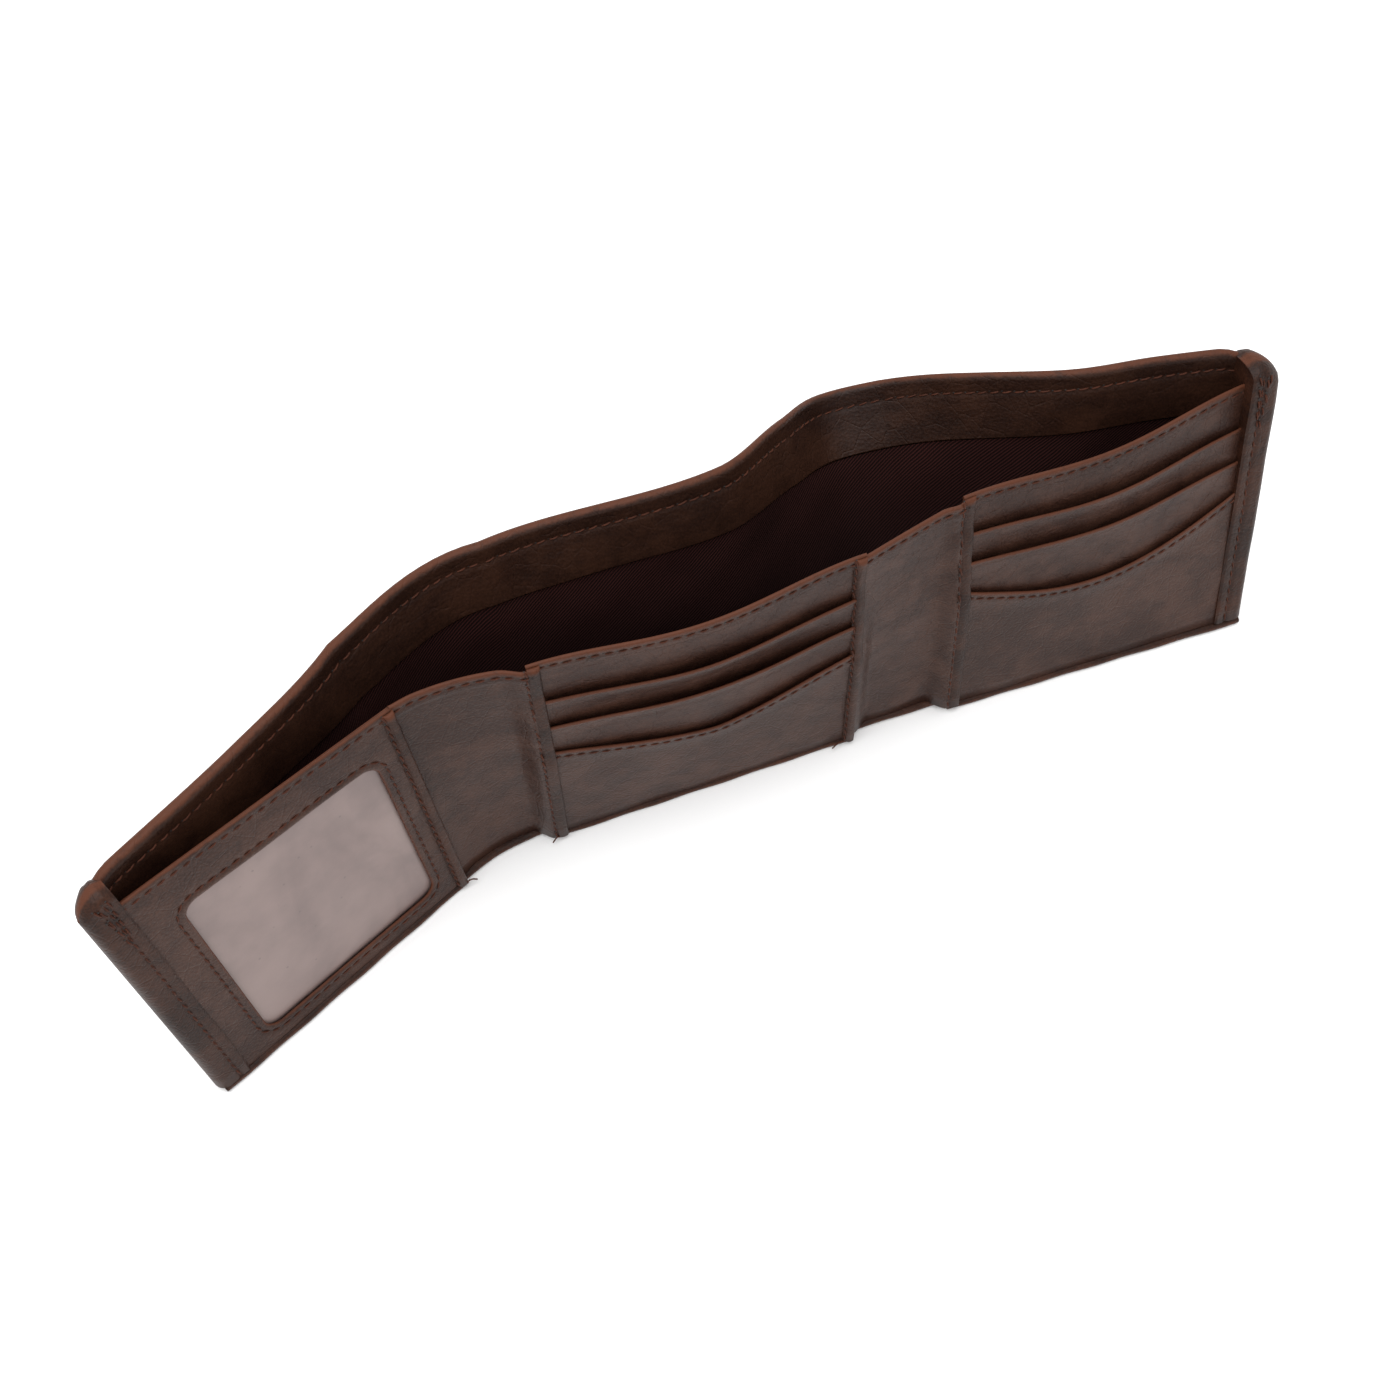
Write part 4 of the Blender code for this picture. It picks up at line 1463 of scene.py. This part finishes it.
def flat_size(walls, wall, leaf):
    """The sheet's cut width, along its middle height, and its length."""
    s = columns(leaf.start, leaf.end)
    foot, top = leaf.foot(s, 0.0).mean(), leaf.top(s, 0.0).mean()
    line = wall(s, (foot + top) / 2.0, 0.0)
    width = np.linalg.norm(np.diff(line, axis=0), axis=1).sum()
    return float(width), float(top - foot)


class WALLET_OT_lining(bpy.types.Operator):
    """Make the twill on the cover's inside and on the back of each panel"""

    bl_idname = "wallet.lining"
    bl_label = "Twill lining"

    def execute(self, context):
        walls = Walls()
        for name, start, end, bend, node in cover_parts(walls):
            leaf = lining_leaf(walls, start, end)
            piece = leaf.make(f"back_lining_{name}")
            dress(piece, "twill_lining", bend, f"lining_{node}")
            size = flat_size(walls, walls.cover, leaf)
        spans = {
            "left": (walls.left_end, -walls.wing_edge, "left_wing", "identity_backing"),
            "centre": (-walls.centre_edge, walls.centre_edge, "centre", "centre_backing"),
            "right": (walls.wing_edge, walls.right_end, "right_wing", "right_backing"),
        }
        for name, (start, end, body, panel) in spans.items():
            leaf = divider_leaf(walls, start, end)
            piece = leaf.make(f"front_lining_{name}")
            dress(piece, "twill_lining", body, f"divider_{name}")
            size = flat_size(walls, walls.inner, leaf)
        return {"FINISHED"}


class WALLET_OT_identity_panel(bpy.types.Operator):
    """Make the left panel: backing, cloudy film and the leather frame round the window"""

    bl_idname = "wallet.identity_panel"
    bl_label = "Identity panel"

    def execute(self, context):
        walls = Walls()
        height = stance().panel_height - BACKING_DROP
        depth = leather().panel_leather
        start, end = walls.left_end, -walls.wing_edge
        backing = Leaf(walls.inner, start, end, sheet_foot, height, 0.0, depth, 0.0009, 20)
        dress(backing.make("identity_backing"), "pocket_leather", "left_wing", "id_backing")
        film = identity_film(walls).make("identity_film")
        dress(film, "clear_film", "left_wing", "id_window_film")
        dress(identity_frame(walls), "pocket_leather", "left_wing", "id_frame")
        return {"FINISHED"}


class WALLET_OT_card_pockets(bpy.types.Operator):
    """Make the centre and right panels with their card slots and front pockets"""

    bl_idname = "wallet.card_pockets"
    bl_label = "Card pockets"

    def execute(self, context):
        walls = Walls()
        for side, body in (("centre", "centre"), ("right", "right_wing")):
            for name, node, leaf in card_sheets(walls, side):
                dress(leaf.make(name), "pocket_leather", body, node)
        return {"FINISHED"}


class WALLET_OT_folding_strips(bpy.types.Operator):
    """Make the two plain folding strips and the ridge at each seam"""

    bl_idname = "wallet.folding_strips"
    bl_label = "Folding strips"

    def execute(self, context):
        walls = Walls()
        for side, start, end, bend in fold_parts(walls):
            leaf = gusset_leaf(walls, side, start, end)
            stations = columns(start, end, 0.0006)
            piece = leaf.make(f"folding_strip_{side}", stations)
            dress(piece, "pocket_leather", bend, f"gusset_fold_{side}")
        for name, body, node, leaf in ridges(walls):
            stations = leaf.start + (leaf.end - leaf.start) * np.sin(
                np.linspace(0.0, math.pi / 2.0, 16)
            )
            dress(leaf.make(name, stations), "turned_edge", body, node)
        return {"FINISHED"}


class WALLET_OT_hems(bpy.types.Operator):
    """Make the turned hem at each end and the thin hem along the foot"""

    bl_idname = "wallet.hems"
    bl_label = "Hems"

    def execute(self, context):
        walls = Walls()
        for side in ("left", "right"):
            leaf = hem_leaf(walls, side)
            share = np.sin(np.linspace(-math.pi / 2.0, math.pi / 2.0, 26)) * 0.5 + 0.5
            stations = leaf.start + (leaf.end - leaf.start) * share
            piece = leaf.make(f"turned_end_{side}", stations)
            dress(piece, "turned_edge", f"{side}_wing", f"end_hem_{side}")
        cut, size = leather(), stance()
        back = -(size.setback + cut.cover_leather)
        pockets = stack_depth(POCKET_SHEETS) + FOOT_HEM_PROUD
        edge, wing, reach = walls.centre_edge, walls.wing_edge, size.end_hem_width - FOOT_HEM_SHORT
        runs = [
            ("left", walls.left_end - reach, -wing, left_stack() + FOOT_HEM_PROUD, "left_wing"),
            ("centre", -edge, edge, pockets, "centre"),
            ("right", wing, walls.right_end + reach, pockets, "right_wing"),
        ]
        for name, start, end, front, body in runs:
            piece = foot_hem(walls, f"foot_hem_{name}", start, end, back, front)
            dress(piece, "turned_edge", body, f"bottom_hem_{name}")
        strip_front, off_floor = cut.panel_leather + 0.0012, 0.0004
        for side, start, end, bend in fold_parts(walls):
            piece = foot_hem(
                walls, f"foot_hem_fold_{side}", start, end, back, strip_front, off_floor
            )
            dress(piece, "turned_edge", bend, f"bottom_hem_fold_{side}")
        return {"FINISHED"}


def upward_row(leaf, s, low, high):
    """Flat points up a sheet at one place."""
    v = columns(low, high, ROW_STEP)
    s = np.full_like(v, s)
    return s, v, leaf.front(s, v)


def frame_row(walls, s, v):
    """A row of stitches drawn into the leather frame's face."""
    drawn_in = 0.0002
    return seam(walls.inner, s, v, Window(walls).face - drawn_in + frame_unevenness(s, v))


def window_row(walls):
    """The row of stitches round the window."""
    ring = Window(walls).outline(thread().margin)
    ring = np.concatenate([ring, ring[:1]])
    return frame_row(walls, ring[:, 0], ring[:, 1])


def hem_rows(walls, side):
    """The row up an end hem, a second one on its back, and the back-stitches at its top."""
    leaf = hem_leaf(walls, side)
    sign, edge = wing_end(walls, side)
    place = edge + sign * HEM_ROW
    size = stance()
    rows = [seam(walls.inner, *upward_row(leaf, place, 0.004, size.cover_height - 0.0045))]
    s, v, _ = upward_row(leaf, place, 0.004, size.cover_height - 0.006)
    rows.append(turned_round(seam(walls.inner, s, v, leaf.back(s, v))))
    for shift, low, high, slope in BACK_STITCHES:
        v = columns(size.cover_height - low, size.cover_height - high, ROW_STEP)
        s = place + sign * (shift + slope * (v - v[0]))
        rows.append(seam(walls.inner, s, v, leaf.front(s, v) + 0.00012))
    return rows


class WALLET_OT_stitching(bpy.types.Operator):
    """Sew every row of stitches with its needle holes"""

    bl_idname = "wallet.stitching"
    bl_label = "Stitching"

    def execute(self, context):
        walls = Walls()
        tree = stitch_tree()
        kit = thread()
        half = kit.pitch / 2.0
        low, high = 0.0035, stance().panel_height - 0.0018
        for name, start, end, bend, _ in cover_parts(walls):
            leaf = cover_leaf(walls, start, end)
            row = leaf.row(kit.rim_margin, start + half, end - half)
            behind = leaf.row(kit.rim_margin, start + half, end - half, True)
            rows = [seam(walls.cover, *row), turned_round(seam(walls.cover, *behind))]
            sew(tree, f"rim_stitches_{name}", rows, bend)
        by_ridge = {name: leaf for name, _, _, leaf in ridges(walls)}
        centre = {name: leaf for name, _, leaf in card_sheets(walls, "centre")}
        right = {name: leaf for name, _, leaf in card_sheets(walls, "right")}
        edge, wing = walls.centre_edge, walls.wing_edge
        wide = leather().band_width

        def along(leaf, start, end):
            return seam(walls.inner, *leaf.row(kit.margin, start, end))

        side_ridge = by_ridge["centre_side_ridge"]
        side_row = upward_row(side_ridge, side_ridge.start + RIDGE_ROW, low, high)
        sew(tree, "stitches_centre", [
            along(centre["centre_backing"], -edge + wide, edge - wide),
            along(centre["centre_front_pocket"], -edge + wide, edge - wide),
            seam(walls.inner, *side_row),
        ], "centre")
        height = stance().panel_height
        top_s = columns(walls.left_end + 0.001, -wing - wide, ROW_STEP)
        top_v = np.full_like(top_s, height - kit.margin)
        left_ridge = by_ridge["identity_side_ridge"]
        left_row = upward_row(left_ridge, left_ridge.start + RIDGE_ROW, low, high)
        rows = [window_row(walls), frame_row(walls, top_s, top_v)]
        rows.append(seam(walls.inner, *left_row))
        sew(tree, "stitches_left_wing", rows + hem_rows(walls, "left"), "left_wing")
        rows = [
            along(right["right_backing"], wing + wide, walls.right_end - 0.001),
            along(right["right_front_pocket"], wing + wide, walls.right_end - 0.0018),
        ]
        sew(tree, "stitches_right_wing", rows + hem_rows(walls, "right"), "right_wing")
        for side, start, end, bend in fold_parts(walls):
            leaf = gusset_leaf(walls, side, start, end)
            up = upward_row(leaf, end - STRIP_ROW, low, high)
            rows = [along(leaf, start + 0.001, end - 0.001), seam(walls.inner, *up)]
            sew(tree, f"stitches_fold_{side}", rows, bend)
        return {"FINISHED"}


class WALLET_OT_thread_ends(bpy.types.Operator):
    """Leave the short cut ends of thread at the foot of the seams"""

    bl_idname = "wallet.thread_ends"
    bl_label = "Thread ends"

    def execute(self, context):
        walls = Walls()
        stack = stack_depth(POCKET_SHEETS)
        # Name, body, place along the wallet, depth, and how far the end reaches along it
        tails = [
            ("identity_seam", "left_wing", -walls.wing_edge - 0.0008, left_stack() + 0.0012, 0.0030),
            ("left_strip_seam", "centre", -walls.centre_edge + 0.0006, stack + 0.0012, -0.0026),
            ("centre_seam", "centre", walls.centre_edge - 0.0034, stack + 0.0008, -0.0038),
        ]
        for name, body, s, d, reach in tails:
            curve = bpy.data.curves.new(name, "CURVE")
            curve.dimensions = "3D"
            curve.bevel_depth = thread().thickness * 0.42
            curve.bevel_resolution = 2
            curve.use_fill_caps = True
            line = curve.splines.new("NURBS")
            share = np.linspace(0.0, 1.0, 5)
            along = s + reach * share
            out = d + 0.0009 * share
            up = 0.0024 + 0.0012 * np.sin(share * 2.6) - 0.0014 * share
            places = walls.inner(along, up, out)
            line.points.add(len(places) - 1)
            for point, place in zip(line.points, places):
                point.co = (*place, 1.0)
            line.use_endpoint_u = True
            line.order_u = 3
            tail = show(name + "_curve", curve)
            graph = bpy.context.evaluated_depsgraph_get()
            made = bpy.data.meshes.new_from_object(tail.evaluated_get(graph))
            piece = show(f"thread_end_{name}", made)
            bpy.data.objects.remove(tail)
            clothe(piece, "thread", sewing_thread)
            follow(piece, body)
        return {"FINISHED"}


class WALLET_OT_studio(bpy.types.Operator):
    """Lay the pale floor, set soft studio light and place the camera"""

    bl_idname = "wallet.studio"
    bl_label = "Studio"

    def execute(self, context):
        scene = context.scene
        scene.view_settings.view_transform = "Standard"
        half = FLOOR_HALF
        corners = [(-half, -half, 0.0), (half, -half, 0.0), (half, half, 0.0), (-half, half, 0.0)]
        mesh = bpy.data.meshes.new("floor")
        mesh.from_pydata(corners, [], [(0, 1, 2, 3)])
        floor = show("floor", mesh)
        mesh.materials.append(material("seamless_paper", seamless_paper))
        world = bpy.data.worlds.new("studio")
        world.use_nodes = True
        background = world.node_tree.nodes["Background"]
        background.inputs["Color"].default_value = (1.0, 1.0, 1.0, 1.0)
        background.inputs["Strength"].default_value = WORLD_STRENGTH
        scene.world = world
        self.lamp("overhead", LAMP_PLACE, LAMP_SIZE, LAMP_POWER)
        eye = bpy.data.cameras.new("camera")
        eye.lens = CAMERA_LENS
        eye.sensor_width = CAMERA_SENSOR
        camera = show("camera", eye)
        camera.location = CAMERA_PLACE
        camera.rotation_euler = Euler((math.radians(CAMERA_TILT), 0.0, math.radians(CAMERA_TURN)))
        scene.camera = camera
        return {"FINISHED"}

    def lamp(self, name, place, size, power):
        light = bpy.data.lights.new(name, "AREA")
        light.size = size
        light.energy = power
        lamp = show(name, light)
        lamp.location = place
        lamp.rotation_euler = (-Vector(place)).to_track_quat("-Z", "Y").to_euler()


class WALLET_PT_panel(bpy.types.Panel):
    """The wallet's sizes, colours and steps"""

    bl_idname = "WALLET_PT_panel"
    bl_label = "Trifold wallet"
    bl_space_type = "VIEW_3D"
    bl_region_type = "UI"
    bl_category = "Wallet"

    def draw(self, context):
        for step in STEPS:
            self.layout.operator(step.bl_idname)
        for group in SETTINGS.values():
            box = self.layout.box()
            for key in group.__annotations__:
                box.prop(getattr(context.scene, SETTING_NAMES[group]), key)


STEPS = (
    WALLET_OT_cover,
    WALLET_OT_lining,
    WALLET_OT_identity_panel,
    WALLET_OT_card_pockets,
    WALLET_OT_folding_strips,
    WALLET_OT_hems,
    WALLET_OT_stitching,
    WALLET_OT_thread_ends,
    WALLET_OT_studio,
)
SETTINGS = {
    "wallet_stance": WalletStance,
    "wallet_leather": WalletLeather,
    "wallet_thread": WalletThread,
    "wallet_colours": WalletColours,
}
SETTING_NAMES = {group: name for name, group in SETTINGS.items()}


def register():
    for kind in (*SETTINGS.values(), *STEPS, WALLET_PT_panel):
        bpy.utils.register_class(kind)
    for name, group in SETTINGS.items():
        setattr(bpy.types.Scene, name, PointerProperty(type=group))


def unregister():
    for name in SETTINGS:
        delattr(bpy.types.Scene, name)
    for kind in reversed((*SETTINGS.values(), *STEPS, WALLET_PT_panel)):
        bpy.utils.unregister_class(kind)


def main():
    register()
    bpy.ops.wallet.cover()
    bpy.ops.wallet.lining()
    bpy.ops.wallet.identity_panel()
    bpy.ops.wallet.card_pockets()
    bpy.ops.wallet.folding_strips()
    bpy.ops.wallet.hems()
    bpy.ops.wallet.stitching()
    bpy.ops.wallet.thread_ends()
    bpy.ops.wallet.studio()


if __name__ == "__main__":
    main()
